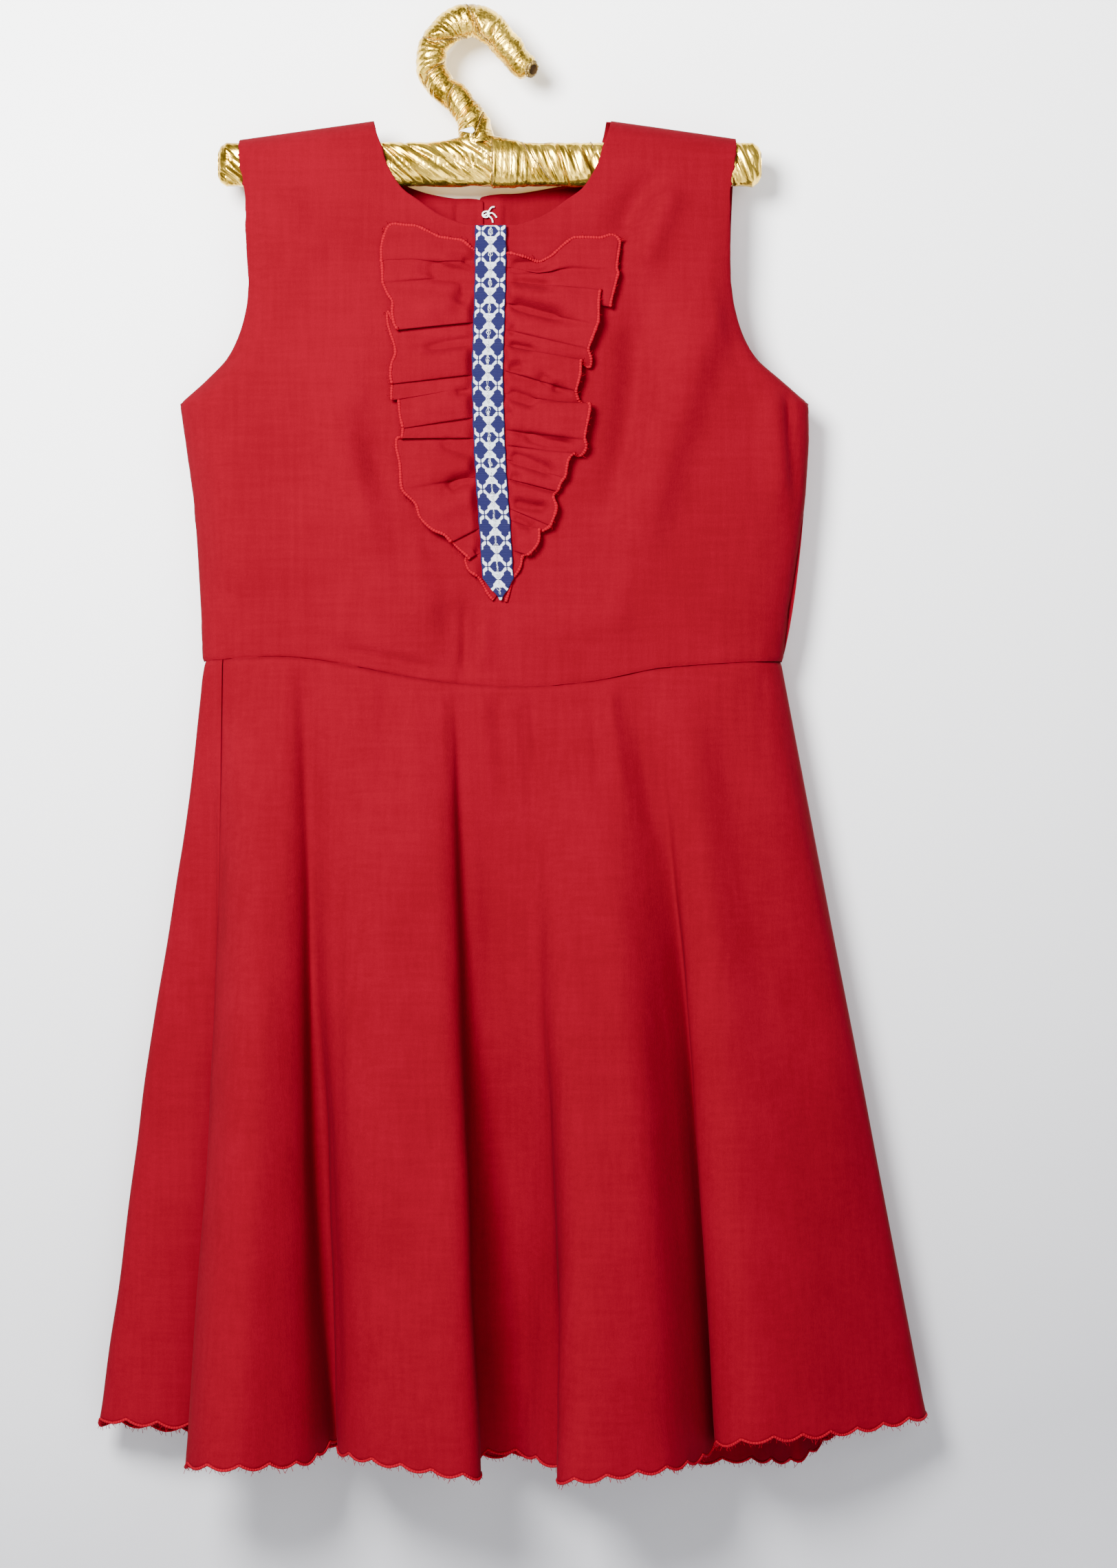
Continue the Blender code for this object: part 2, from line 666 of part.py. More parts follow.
def frill_row(table, progress):
    """A frill's row: height at the ribbon, and its outer edge's x and z."""
    place = progress * (len(table) - 1)
    index = min(int(place), len(table) - 2)
    before = table[max(index - 1, 0)]
    after = table[min(index + 2, len(table) - 1)]
    part = place - index
    return [smooth_between(before[column], table[index][column], table[index + 1][column],
                           after[column], part) for column in range(3)]


def frill_grid(table, side):
    """A frill's inner face: rows down the ribbon, columns out to its free edge."""
    count = FRILL_GATHERS * GATHER_STEPS
    grid = []
    for number in range(count + 1):
        progress = number / count
        ribbon_z, edge_x, edge_z = frill_row(table, progress)
        inner_x = ribbon_x(ribbon_z) + side * FRILL_INNER
        width = abs(edge_x - inner_x)
        under = min((RIBBON_WIDTH / 2.0 + RIBBON_CLEAR - FRILL_INNER) / width, UNDER_MOST)
        gather = (1.0 + math.sin(math.tau * FRILL_GATHERS * progress)) / 2.0
        wave = (1.0 + math.sin(math.tau * FRILL_WAVES * progress + side)) / 2.0
        row = []
        for share, gathered, puffed, waved in FRILL_COLUMNS:
            along = share if share == 0.0 else mix(under, 1.0, share)
            x = mix(inner_x, edge_x, along)
            z = mix(ribbon_z, edge_z, along)
            clear = abs(x - ribbon_x(z)) - RIBBON_WIDTH / 2.0 - RIBBON_CLEAR
            free = min(max(clear / FRILL_RISE, 0.0), 1.0)
            height = UNDER_GATHER * gather + free * (
                gathered * GATHER_HEIGHT * gather + puffed * FRILL_PUFF + waved * EDGE_WAVE * wave)
            row.append((x, front_y(x, z) - WALL - LAY_GAP - height, z))
        grid.append(row)
    return grid


def build_jabot(group, red, navy):
    for table, side, name in ((LEFT_FRILL, -1, "ruffle_left"), (RIGHT_FRILL, 1, "ruffle_right")):
        grid = frill_grid(table, side)
        points = [point for row in grid for point in row]
        faces = grid_faces(0, len(grid), len(FRILL_COLUMNS), side > 0)
        cloth_object(name, points, faces, FRILL_WALL, group, red)
    build_ribbon(group, navy)


def build_ribbon(group, navy):
    lift = WALL + LAY_GAP + UNDER_GATHER + FRILL_WALL + LAY_GAP
    top = RIBBON_LINE[0][0]
    foot = RIBBON_LINE[-1][0]
    heights = [mix(top, foot + RIBBON_POINT, row / RIBBON_ROWS)
               for row in range(RIBBON_ROWS + 1)]
    points = []
    for z in heights + [foot]:
        half = RIBBON_WIDTH / 2.0 if z > foot else 0.5
        for across in (-1.0, 0.0, 1.0):
            x = ribbon_x(z) + across * half
            points.append((x, front_y(x, z) - lift, z))
    faces = grid_faces(0, len(heights) + 1, 3, True)
    cloth_object("ribbon_trim", points, faces, RIBBON_WALL, group, navy)


# Hanger

def bar_ring(x, hump, shrink):
    """A rounded section of the bar."""
    top = BAR_TOP + hump * BAR_HUMP - shrink
    bottom = BAR_BOTTOM + shrink
    round_off = BAR_ROUND - shrink
    side = BAR_DEPTH / 2.0 - shrink - round_off
    steps = 4
    ring = []
    for corner, (y, z) in enumerate(((side, top - round_off), (-side, top - round_off),
                                     (-side, bottom + round_off), (side, bottom + round_off))):
        for step in range(steps + 1):
            angle = math.radians(90.0 * (corner + step / steps))
            ring.append((x, y + round_off * math.cos(angle), z + round_off * math.sin(angle)))
    return ring


def build_bar(group, cutters, gold):
    rings = [bar_ring(*section) for section in BAR_SECTIONS]
    count = len(rings[0])
    faces = [tuple(range(count))[::-1]]
    for ring in range(len(rings) - 1):
        for corner in range(count):
            after = (corner + 1) % count
            first = ring * count
            faces.append((first + corner, first + after, first + count + after,
                          first + count + corner))
    faces.append(tuple(range((len(rings) - 1) * count, len(rings) * count)))
    mesh = welded_mesh("hanger_bar", [point for ring in rings for point in ring], faces)
    bar = add_object("hanger_bar", mesh, group, gold)
    bpy.ops.mesh.primitive_cylinder_add(
        vertices=16,
        radius=(PEG_RADIUS + SEAM_GAP) * MM,
        depth=2.0 * (PEG_DEPTH + SEAM_GAP) * MM,
        location=(HOOK_LINE[0][0] * MM, 0.0, (BAR_TOP + BAR_HUMP) * MM),
    )
    socket = bpy.context.object
    socket.name = "peg_socket_cutter"
    socket.hide_render = True
    socket.display_type = "WIRE"
    for owner in list(socket.users_collection):
        owner.objects.unlink(socket)
    cutters.objects.link(socket)
    hole = bar.modifiers.new("peg_socket", "BOOLEAN")
    hole.operation = "DIFFERENCE"
    hole.solver = "EXACT"
    hole.object = socket


def smooth_route(points, first, steps):
    """The route's points, with a smooth curve through them from an index on."""
    route = list(points[:first])
    for index in range(first, len(points) - 1):
        before = points[max(index - 1, first)]
        after = points[min(index + 2, len(points) - 1)]
        for step in range(steps):
            route.append(tuple(
                smooth_between(before[axis], points[index][axis], points[index + 1][axis],
                               after[axis], step / steps) for axis in range(3)))
    return route + [points[-1]]


def tube_curve(name, route, group, material, resolution):
    """A round tube through points given as x, y, z and radius."""
    curve = bpy.data.curves.new(name, "CURVE")
    curve.dimensions = "3D"
    curve.bevel_depth = MM
    curve.bevel_resolution = resolution
    curve.use_fill_caps = True
    spline = curve.splines.new("POLY")
    spline.points.add(len(route) - 1)
    for point, (x, y, z, radius) in zip(spline.points, route):
        point.co = (x * MM, y * MM, z * MM, 1.0)
        point.radius = radius
    spline.use_smooth = True
    tube = bpy.data.objects.new(name, curve)
    group.objects.link(tube)
    curve.materials.append(material)
    return tube


def build_hook(group, gold):
    route = smooth_route(HOOK_LINE, 2, 2)
    tube_curve("hanger_hook", [(x, 0.0, z, radius) for x, z, radius in route], group, gold, 2)


# Knotted thread at the neck

def mesh_from_curve(tube, group, material):
    """The tube as a closed mesh, in place of the curve."""
    graph = bpy.context.evaluated_depsgraph_get()
    mesh = bpy.data.meshes.new_from_object(tube.evaluated_get(graph))
    work = bmesh.new()
    work.from_mesh(mesh)
    bmesh.ops.remove_doubles(work, verts=work.verts, dist=0.00001)
    work.to_mesh(mesh)
    work.free()
    solid = bpy.data.objects.new(tube.name + "_solid", mesh)
    solid.matrix_world = tube.matrix_world
    group.objects.link(solid)
    bpy.data.objects.remove(tube, do_unlink=True)
    return solid


def build_tie(group, cutters, white):
    knot_x, knot_z = TIE_CENTRE
    depth = back_y(knot_x, knot_z) - LAY_GAP - KNOT_RADIUS
    bpy.ops.mesh.primitive_uv_sphere_add(
        segments=12,
        ring_count=8,
        radius=KNOT_RADIUS * MM,
        location=(knot_x * MM, depth * MM, knot_z * MM),
    )
    knot = bpy.context.object
    knot.name = "neck_tie"
    knot.data.name = "neck_tie"
    knot.data.materials.append(white)
    knot.data.shade_smooth()
    for owner in list(knot.users_collection):
        owner.objects.unlink(knot)
    group.objects.link(knot)
    for number, strand in enumerate(TIE_ENDS):
        route = [(knot_x + x, depth, knot_z + z, THREAD / 2.0) for x, z in strand]
        tube = tube_curve(f"tie_strand_{number}", route, cutters, white, 1)
        bpy.context.view_layer.update()
        solid = mesh_from_curve(tube, cutters, white)
        solid.hide_render = True
        solid.display_type = "WIRE"
        join = knot.modifiers.new(f"strand_{number}", "BOOLEAN")
        join.operation = "UNION"
        join.solver = "EXACT"
        join.object = solid


def main():
    clear_scene()
    dress = new_collection("folk_dress")
    cutters = new_collection("cutters")
    red = plain_material("red_cloth", RED, 0.85)
    gold = plain_material("gold_wrapping", GOLD, 0.4, 0.6)
    navy = plain_material("navy_ribbon", NAVY, 0.75)
    white = plain_material("white_thread", WHITE, 0.8)
    build_bar(dress, cutters, gold)
    build_hook(dress, gold)
    build_bodice(dress, red)
    build_skirt(dress, red)
    build_jabot(dress, red, navy)
    build_tie(dress, cutters, white)


main()
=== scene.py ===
import math
import random

import bmesh
import bpy
import numpy as np
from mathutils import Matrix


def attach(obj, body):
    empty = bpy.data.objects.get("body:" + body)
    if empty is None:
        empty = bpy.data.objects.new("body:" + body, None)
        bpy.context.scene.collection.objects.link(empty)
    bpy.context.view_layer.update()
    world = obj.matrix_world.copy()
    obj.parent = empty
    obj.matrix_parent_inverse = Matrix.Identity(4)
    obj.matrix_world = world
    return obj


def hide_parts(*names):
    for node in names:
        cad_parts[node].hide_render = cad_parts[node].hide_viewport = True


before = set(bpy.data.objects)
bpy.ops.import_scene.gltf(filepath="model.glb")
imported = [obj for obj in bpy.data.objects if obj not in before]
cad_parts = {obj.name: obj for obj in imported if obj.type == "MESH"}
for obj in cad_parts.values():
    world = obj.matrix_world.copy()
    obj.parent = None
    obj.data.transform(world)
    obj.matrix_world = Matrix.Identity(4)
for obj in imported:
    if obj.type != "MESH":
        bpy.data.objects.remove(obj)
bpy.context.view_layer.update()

MM = 0.001

# Front view: folds are placed where they are seen from the front, in steps of 0.355 mm
STEP = 0.355
VIEW_LEFT = 688.0
VIEW_TOP = 57.0
VIEW_DISTANCE = 1900.0
VIEW_X = 44.0
VIEW_Z = -384.5

# Cloth: the shells lie on the inner faces of the solids
CLOTH = 0.6
FRILL_CLOTH = 0.5
CLOTH_MIDDLE = 1.1
SEAM_GAP = 0.3
WAIST_GAP = 0.7

# The dress; FRONT and BACK are columns of its depth and waist tables
FRONT = 1
BACK = 2
DRESS_AXIS = 10.0
SKIRT_LENGTH = 397.0
WAIST_Z = -320.0
SIDE_WAIST_Z = -321.0
ARMHOLE_FOOT = -189.0
SHOULDER_ROUND = 11.4
SIDE_ROUND = 8
SHOULDER_NECK = (61.0, -43.8)
SHOULDER_ARM = (130.0, -53.5)

# Bodice front: neck, neck z, left, right, outer z; its two halves join from row NECK_FOOT down
NECK_FOOT = 10
FRONT_ROWS = np.array((
    (61, -43.8, 130, 125, -53.5), (60.7, -45, 130, 125, -54.7), (60.1, -47.8, 129.8, 124.8, -57.5),
    (58.8, -52, 129.5, 124.3, -61.8), (56.4, -58, 128.8, 123.6, -67.5), (54, -66.3, 127.2, 122, -76.5),
    (47, -78, 125.8, 121.2, -89), (38.5, -84.6, 125.6, 121, -100), (27, -92.4, 125, 121, -111),
    (13, -97.6, 124.3, 121.2, -121.5), (0, -99, 124.2, 121.8, -130), (0, -116, 125.8, 124, -142.5),
    (0, -135, 130, 128.6, -156), (0, -152, 136.5, 136, -167.5), (0, -167, 147.5, 149, -178.5),
    (0, -181, 160, 161.8, -189), (0, -204, 157.4, 162, -207), (0, -235, 153.4, 160.4, -235),
    (0, -266, 151, 156.6, -264), (0, -300, 149.2, 151.4, -297), (0, -334.5, 148.4, 148.6, -321),
))

# Bodice back: neck left, z, neck right, z, left, right, outer z; then z, left, right, outer z
# for the rows under the neck, where the two backs meet at SPLIT_X from the dress's axis
SPLIT_X = 4.7
BACK_NECK_ROWS = (
    (61, -43.8, 61, -43.8, 130.6, 125.6, -53.5), (60.7, -45, 60.7, -45, 130.6, 125.6, -54.7),
    (60.1, -47.8, 60.1, -47.8, 130.6, 125.6, -57.5), (58.8, -52, 58.8, -52, 130.4, 125.4, -61.8),
    (55.8, -58.5, 56, -58.5, 130, 125, -67.5), (52.4, -66, 52.6, -66, 129, 124.4, -76.5),
    (47, -72.6, 46, -72, 127.6, 123.8, -89), (36, -77.2, 34, -74.6, 127, 123.4, -100),
    (22, -80.2, 18, -77.4, 126.4, 123, -113), (4.7, -82.4, -4.7, -80.6, 126, 122.8, -126),
)
BACK_LOWER_ROWS = (
    (-98, 126.4, 123.6, -137), (-118, 129, 127, -151), (-138, 135, 134, -164.5), (-157, 146, 147, -177),
    (-178, 160, 161.8, -189), (-204, 157.4, 162, -207), (-235, 153.4, 160.4, -235),
    (-266, 151, 156.6, -264), (-300, 149.2, 151.4, -297), (-337, 148.4, 148.6, -321),
)
BACK_ROWS = np.array((*BACK_NECK_ROWS,
                      *((SPLIT_X, row[0], -SPLIT_X, *row) for row in BACK_LOWER_ROWS)))
SPLIT_ROW = len(BACK_NECK_ROWS) - 1
SLIT_TOP = -82.0
SLIT_FOOT = -204.0
SLIT_WIDTH = 0.7
UNDERLAP = 2.6             # the right back reaches this far behind the left one

# Depth of the bodice: z, front, back, armhole edge
DEPTHS = np.array((
    (-43, 11.4, 11.4, 11.4), (-80, 11.4, 11.2, 10.8), (-110, 12, 10.6, 9), (-150, 13.4, 10.2, 6),
    (-178, 14, 10, 3), (-189, 14.2, 10, 0), (-260, 14.6, 10, 0), (-340, 14.6, 10, 0),
))

# Waist seam: x, front z, back z
WAIST_SEAM = np.array((
    (-140, -321, -321), (-96, -319.4, -322.5), (-62, -324, -327.5), (-26, -331, -333.5),
    (20, -334.8, -337), (60, -332, -334), (96, -325, -327), (160, -321, -321),
))

# Skirt folds: waist x, hem x, hem y, sweep, swell, longer; sweep and swell are 1 in EVEN_FOLDS
FRONT_FOLDS = (
    (-126, -138.5, -27, 1.1, 1.2, 14), (-119, -143, -42, 1.15, 1.1, 14), (-108, -134, -57, 1.05, 0.95, 14),
    (-101, -118, -61.5, 1, 0.9, 14), (-95, -101, -53, 1.1, 0.9, 13), (-89.5, -84, -38, 1.6, 1, 12),
    (-86, -72, -12, 2.6, 1, 5), (-82.5, -67, -13, 1.6, 1, 5), (-78, -65.5, -36, 0.8, 0.9, 6),
    (-63, -50, -55, 0.8, 0.85, 6), (-38, -25, -64, 0.9, 0.85, 5), (-20, -6, -66, 1, 0.85, 5),
    (-12.5, 4, -58, 1.2, 0.85, 5), (-10, 0.5, -36, 1.2, 0.9, 3), (-7, 3, -13, 1.3, 1, -1),
    (-1, 14, -6.5, 1.2, 1, -2), (10, 26, -9, 1.1, 1.1, -2), (19, 38, -22, 1, 1.3, 0),
    (26, 49.5, -27, 1, 1.3, 3), (30, 51, -40, 0.95, 1.25, 5), (34, 45, -58, 0.8, 1.15, 5),
    (42, 56, -67.5, 0.8, 1, 5), (54, 76, -65, 0.8, 0.9, 4), (67, 98, -55.5, 0.75, 0.85, 4),
    (76, 114, -34, 0.65, 0.9, 4), (81.5, 124.5, -12, 0.58, 1, 1), (85.5, 128, -15, 0.58, 1, 0),
    (90, 126, -34, 0.65, 0.85, -1), (102, 143, -46, 0.8, 0.85, -2), (120, 168, -39.5, 0.9, 0.9, -1),
    (138, 196, -26, 1, 1, 0), (151, 219, -13, 1, 1, 0), (157.6, 231.4, -3.5, 1, 1, 0),
)
EVEN_FOLDS = (
    (157.8, 231.6, 5, 0), (153.5, 222, 11.5, 2), (143, 203, 14.5, 2), (134, 187, 10, 6),
    (128, 176, -7, 10), (122.5, 166.5, -19, 13), (117, 156, -6, 14), (110, 143, 11, 15), (99, 125, 16, 15),
    (90, 105, 11, 13), (84.5, 94, -10, 10), (79, 85, -29, 6), (73.5, 75, -10, 2), (67, 62, 11, 2),
    (55, 42, 15.5, 2), (42, 20, 15, 2), (30, 0, 10, 2), (23, -10.5, -9, 2), (17, -20, -32, 2),
    (10, -30.5, -8, 2), (1, -43, 11, 2), (-14, -64, 15.5, 2), (-30, -83, 11.5, 2), (-41, -95, -7, 2),
    (-50, -104.5, -26, 2), (-59, -114.5, -5, 2), (-72, -128, 11, 4), (-92, -148, 15, 6),
    (-114, -170, 13, 5), (-131, -186, 9.5, 2),
)
BACK_FOLDS = (*((*fold[:3], 1, 1, fold[3]) for fold in EVEN_FOLDS),
              (-138.2, -191.5, 3.5, 0.97, 1, 2))
WRAP_FOLDS = (
    (-138, -188, -4.5, 0.97, 1, -2), (-136.6, -173, -9.5, 1, 1, -3), (-134.6, -152, -10.5, 1, 1, -3),
    (-132.4, -133, -10, 1, 1, -2), (-130, -127.5, -16, 1.05, 1.1, 3),
)
FOLDS = FRONT_FOLDS + BACK_FOLDS + WRAP_FOLDS
IS_FRONT = [True] * len(FRONT_FOLDS) + [False] * len(BACK_FOLDS) + [True] * len(WRAP_FOLDS)
LEFT_SEAM = -0.5
RIGHT_SEAM = len(FRONT_FOLDS) - 0.5
SIDE_GAP = 0.5
COLUMNS_A_SCALLOP = 6
SCALLOP_PITCH = 16.0
SCALLOP_DEPTH = 2.8
SCALLOP_BAND = 0.965       # the scallops are shaped below this share of the skirt

# Soft folds: route in the front view, half-width in mm, height in mm (troughs below 0),
# and how much wider the fold is on its left than on its right
BODICE_CREASES = (
    (((960, 235), (925, 290), (890, 350)), 9, -1.8, 0.2),
    (((985, 260), (955, 330), (930, 400)), 8, 1.2, 0),
    (((1062, 400), (1010, 520), (960, 680), (925, 820)), 15, 1.8, 0.2),
    (((930, 430), (925, 540), (905, 660), (860, 760)), 11, -2, 0.1),
    (((540, 610), (560, 690), (620, 770), (655, 870), (660, 950)), 13, -2.2, -0.3),
    (((470, 560), (500, 680), (580, 800), (620, 930)), 15, 1.5, 0),
    (((675, 860), (676, 930), (674, 985)), 4, -1, -0.4), (((700, 880), (700, 980)), 6, 0.8, 0),
    (((1145, 560), (1150, 640), (1158, 740)), 2, -0.8, 0.3),
    (((1120, 560), (1128, 640), (1138, 740)), 7, 0.9, 0),
    (((380, 250), (420, 330), (470, 400)), 14, 0.9, 0), (((300, 620), (340, 740), (380, 900)), 18, 1, 0),
    (((480, 940), (560, 958), (640, 975)), 3, -0.8, 0), (((800, 880), (850, 900), (930, 890)), 12, 0.8, 0),
)
BACK_CREASES = (
    (((560, 420), (600, 600), (640, 860)), 14, 1.6, 0.1),
    (((450, 500), (500, 700), (520, 900)), 12, -1.8, 0),
    (((830, 420), (800, 640), (780, 880)), 14, -1.6, 0),
    (((960, 380), (940, 620), (930, 860)), 15, 1.6, 0), (((330, 600), (370, 760), (380, 940)), 12, 1.2, 0),
    (((1080, 620), (1060, 780), (1050, 940)), 12, -1.2, 0),
    (((663, 284), (662, 330), (664, 420)), 1.2, 1.1, -0.5),
    (((729, 280), (728, 330), (727, 420)), 1.2, -1.1, 0.5), (((745, 292), (760, 330)), 4, 0.6, 0),
)
SKIRT_CREASES = (
    (((484, 1060), (488, 1180), (496, 1400), (505, 1700)), 5.5, 1, 0.1),
    (((498, 1180), (497, 1400), (500, 1700)), 3.4, -1.2, 0.2),
    (((448, 985), (449, 1060), (452, 1200)), 5, -1.1, 0.2),
    (((664, 985), (667, 1060), (676, 1260)), 7, -1.2, 0.2),
    (((676, 1000), (686, 1200), (696, 1460)), 5.5, 1.4, 0),
    (((919, 980), (930, 1100), (955, 1240)), 5, -1.3, 0.2),
    (((700, 990), (706, 1080), (716, 1260)), 3.6, 1.1, 0),
    (((722, 992), (728, 1060), (736, 1150)), 2.6, -1, 0.2),
    (((742, 990), (752, 1090), (764, 1240)), 3.8, 0.9, 0),
    (((768, 992), (776, 1060), (786, 1130)), 2.4, -0.8, 0),
    (((854, 975), (862, 1050), (874, 1160)), 2.8, -1.2, 0.3),
    (((880, 975), (892, 1060), (908, 1180)), 4, 1, 0),
    (((560, 975), (556, 1060), (552, 1160)), 4, -0.7, 0),
    (((604, 985), (606, 1080), (606, 1200)), 5, 0.7, 0),
    (((305, 1180), (308, 1290), (306, 1380)), 3, 0.7, 0),
    (((320, 1200), (324, 1300), (324, 1400)), 3, -0.7, 0),
    (((350, 1000), (345, 1200), (330, 1500)), 8, 0.9, 0),
    (((390, 1000), (395, 1200), (400, 1500)), 7, -0.8, 0),
    (((545, 1240), (556, 1500), (560, 1850)), 14, 1.4, 0),
    (((610, 1250), (620, 1500), (630, 1850)), 10, -1.2, 0),
    (((820, 1150), (850, 1400), (880, 1800)), 14, -1.3, 0),
    (((880, 1250), (915, 1500), (950, 1900)), 10, 1.2, 0),
    (((990, 1010), (1020, 1200), (1060, 1500)), 8, 1.2, 0),
    (((1040, 1000), (1080, 1250), (1130, 1600)), 9, -1.2, 0),
    (((1110, 1000), (1170, 1300), (1220, 1700)), 12, 1.2, 0),
    (((330, 1650), (322, 1850), (314, 2080)), 9, -1.4, 0),
    (((748, 1500), (758, 1750), (764, 2080)), 13, -3.6, 0),
    (((472, 1480), (484, 1850), (492, 2090)), 4.6, -2, 0),
)
FRONT_STRENGTH = 3.1
BACK_STRENGTH = 1.6
# Where the folds stay soft almost to the hem; here the height is a share of the softness
SOFT_FOLDS = (
    (((772, 900), (784, 1500), (800, 2060)), 22, 1, 0), (((655, 850), (664, 1200), (676, 1640)), 22, 1, 0),
)

# Ribbon: z, x of its centre line
RIBBON_LINE = np.array((
    (-98.4, 9.2), (-128, 9), (-154, 8.2), (-174.5, 7.7), (-201, 8.3), (-222, 9.2), (-242, 10.6),
    (-262, 12), (-276, 12.8), (-290.5, 14.4),
))
RIBBON_WIDTH = 16.0
RIBBON_POINT = 11.0
RIBBON_LIFT = 3.4
PATTERN_PITCH = 13.22
PATTERN_FIRST = 9.5

# Frills, row by row: where a row leaves the ribbon, where its outer end is seen,
# and its height over the bodice half-way out and at its outer edge in mm
LEFT_FRILL = np.array((
    (363, 560, 320, 0.6, 0.6), (371, 554, 345, 1.6, 2.2), (379, 553, 366, 2, 2.6), (383, 556, 378, 1, 2.4),
    (391, 554.5, 395, 2.2, 3), (399, 556.5, 413, 0.6, 2.6), (410, 563, 427, 1.8, 3.2),
    (430, 570, 437, 2.8, 3.6), (446, 569.5, 456, 3.4, 4.2), (458, 574, 472, 3.8, 4.6),
    (466, 583, 483, 3.4, 4.2), (467, 577, 475, 1.6, 2), (465, 563, 452, 0.6, 0.6),
    (474, 563, 469, 0.8, 0.8), (484, 568, 487, 1.6, 1.8), (495, 572.5, 499, 1, 2.2),
    (506, 575, 513, 2.2, 2.8), (522, 569.5, 528, 2.8, 3.2), (533, 567.7, 546.8, 3.2, 3.4),
    (541, 568.5, 556, 2.8, 3.2), (543, 570, 558, 0.9, 2), (550, 569.5, 568, 1.6, 2.4),
    (560, 569.7, 582, 2.2, 2.8), (563, 573, 574, 2.2, 1.8), (568, 578, 580, 2.3, 2),
    (582, 580.5, 600, 2.6, 2.6), (596, 583, 614, 3, 3.2), (602, 584, 620, 2.8, 3.2),
    (605, 584.5, 623, 0.9, 2.4), (618, 585, 630, 2, 3), (633, 585.5, 637.5, 2.8, 3.8),
    (637, 583, 636, 1, 2), (640, 577, 637, 0.8, 0.8), (652, 577, 652, 1.8, 1.6), (668, 582, 674, 2.6, 2.4),
    (684, 580.5, 692, 2.8, 3), (692, 587, 715, 1.6, 2.8), (706, 604, 733, 2.8, 3), (722, 610, 752, 3, 3.2),
    (738, 628, 770, 3, 3.4), (750, 646, 778, 3, 3.6), (756, 653, 787, 2.6, 3.4), (759, 656, 788, 0.8, 1.8),
    (766, 662, 794, 1.4, 2), (778, 675, 804, 2.2, 2.8), (790, 684, 811, 2.4, 3.2), (793, 681, 812, 1, 1.6),
    (796, 677, 813, 0.6, 0.6), (806, 682, 828, 1.4, 1.4), (820, 693, 838, 1.8, 1.8),
    (835, 702, 850, 1.6, 1.6), (855, 711, 865, 1, 1), (870, 718, 873, 0.6, 0.6),
))
RIGHT_FRILL = np.array((
    (371, 901, 340, 3.2, 2), (378, 899, 362, 2.6, 3), (384, 894, 377, 2.8, 3.2), (389, 899, 394, 0.7, 3.4),
    (398, 896, 408, 2.2, 3.6), (405, 890, 430, 2.4, 3), (407, 887, 446, 1.4, 1.6),
    (407.5, 878, 430, 0.9, 1.2), (408, 873, 420, 2.6, 4.2), (418, 871.5, 436, 3.2, 4.8),
    (428, 875, 457, 3.2, 5), (437, 868, 475, 1.3, 4.6), (450, 862, 486, 2.8, 4.4), (464, 858, 496, 3, 4.2),
    (476, 856, 509, 1.8, 3.6), (488, 860, 522, 2.4, 3), (496, 858, 534, 1.6, 1.6),
    (498, 851, 531, 0.9, 1.2), (500, 845, 524, 2.4, 4), (512, 843.5, 545, 3, 4.6), (524, 840, 560, 3, 4.2),
    (535, 838, 570, 1.2, 3.2), (548, 841, 582, 2.2, 2), (560, 843, 589, 1.8, 1.2), (572, 850, 588, 0.8, 2),
    (590, 858, 587.5, 2.8, 4.8), (600, 856.5, 604, 3.2, 5.4), (612, 850.5, 626, 3, 5.2),
    (624, 851, 640, 1.4, 4.6), (632, 852.5, 650, 2.4, 4), (642, 847, 661, 1.8, 2),
    (645, 840, 664, 0.9, 1.4), (648, 834, 660, 1.8, 3.6), (653, 825.5, 670, 2.8, 4.2),
    (658, 825, 688, 2.4, 4), (662, 819, 696, 0.9, 3.4), (672, 814, 703, 2.4, 3.2),
    (684, 815, 711, 2.6, 2.8), (692, 809, 716, 1.2, 1.6), (697, 804.5, 722, 2.6, 3.6),
    (712, 808, 740, 3, 4), (728, 804, 756, 2.4, 4), (731, 798, 766, 1.2, 3), (742, 791, 772, 2.4, 2.4),
    (750, 787, 772, 1, 1.2), (754, 784, 771, 1.8, 3), (768, 782.5, 790, 2.6, 3.4), (784, 776, 806, 2.4, 3),
    (794, 764, 806.5, 1.2, 1.6), (798, 759, 810, 0.7, 0.7), (806, 758, 820, 1, 0.9),
    (822, 753, 832, 1.4, 1.2), (838, 746.5, 842, 1.4, 1.2), (856, 741, 858, 1, 1),
    (872, 735, 877, 0.6, 0.6),
))
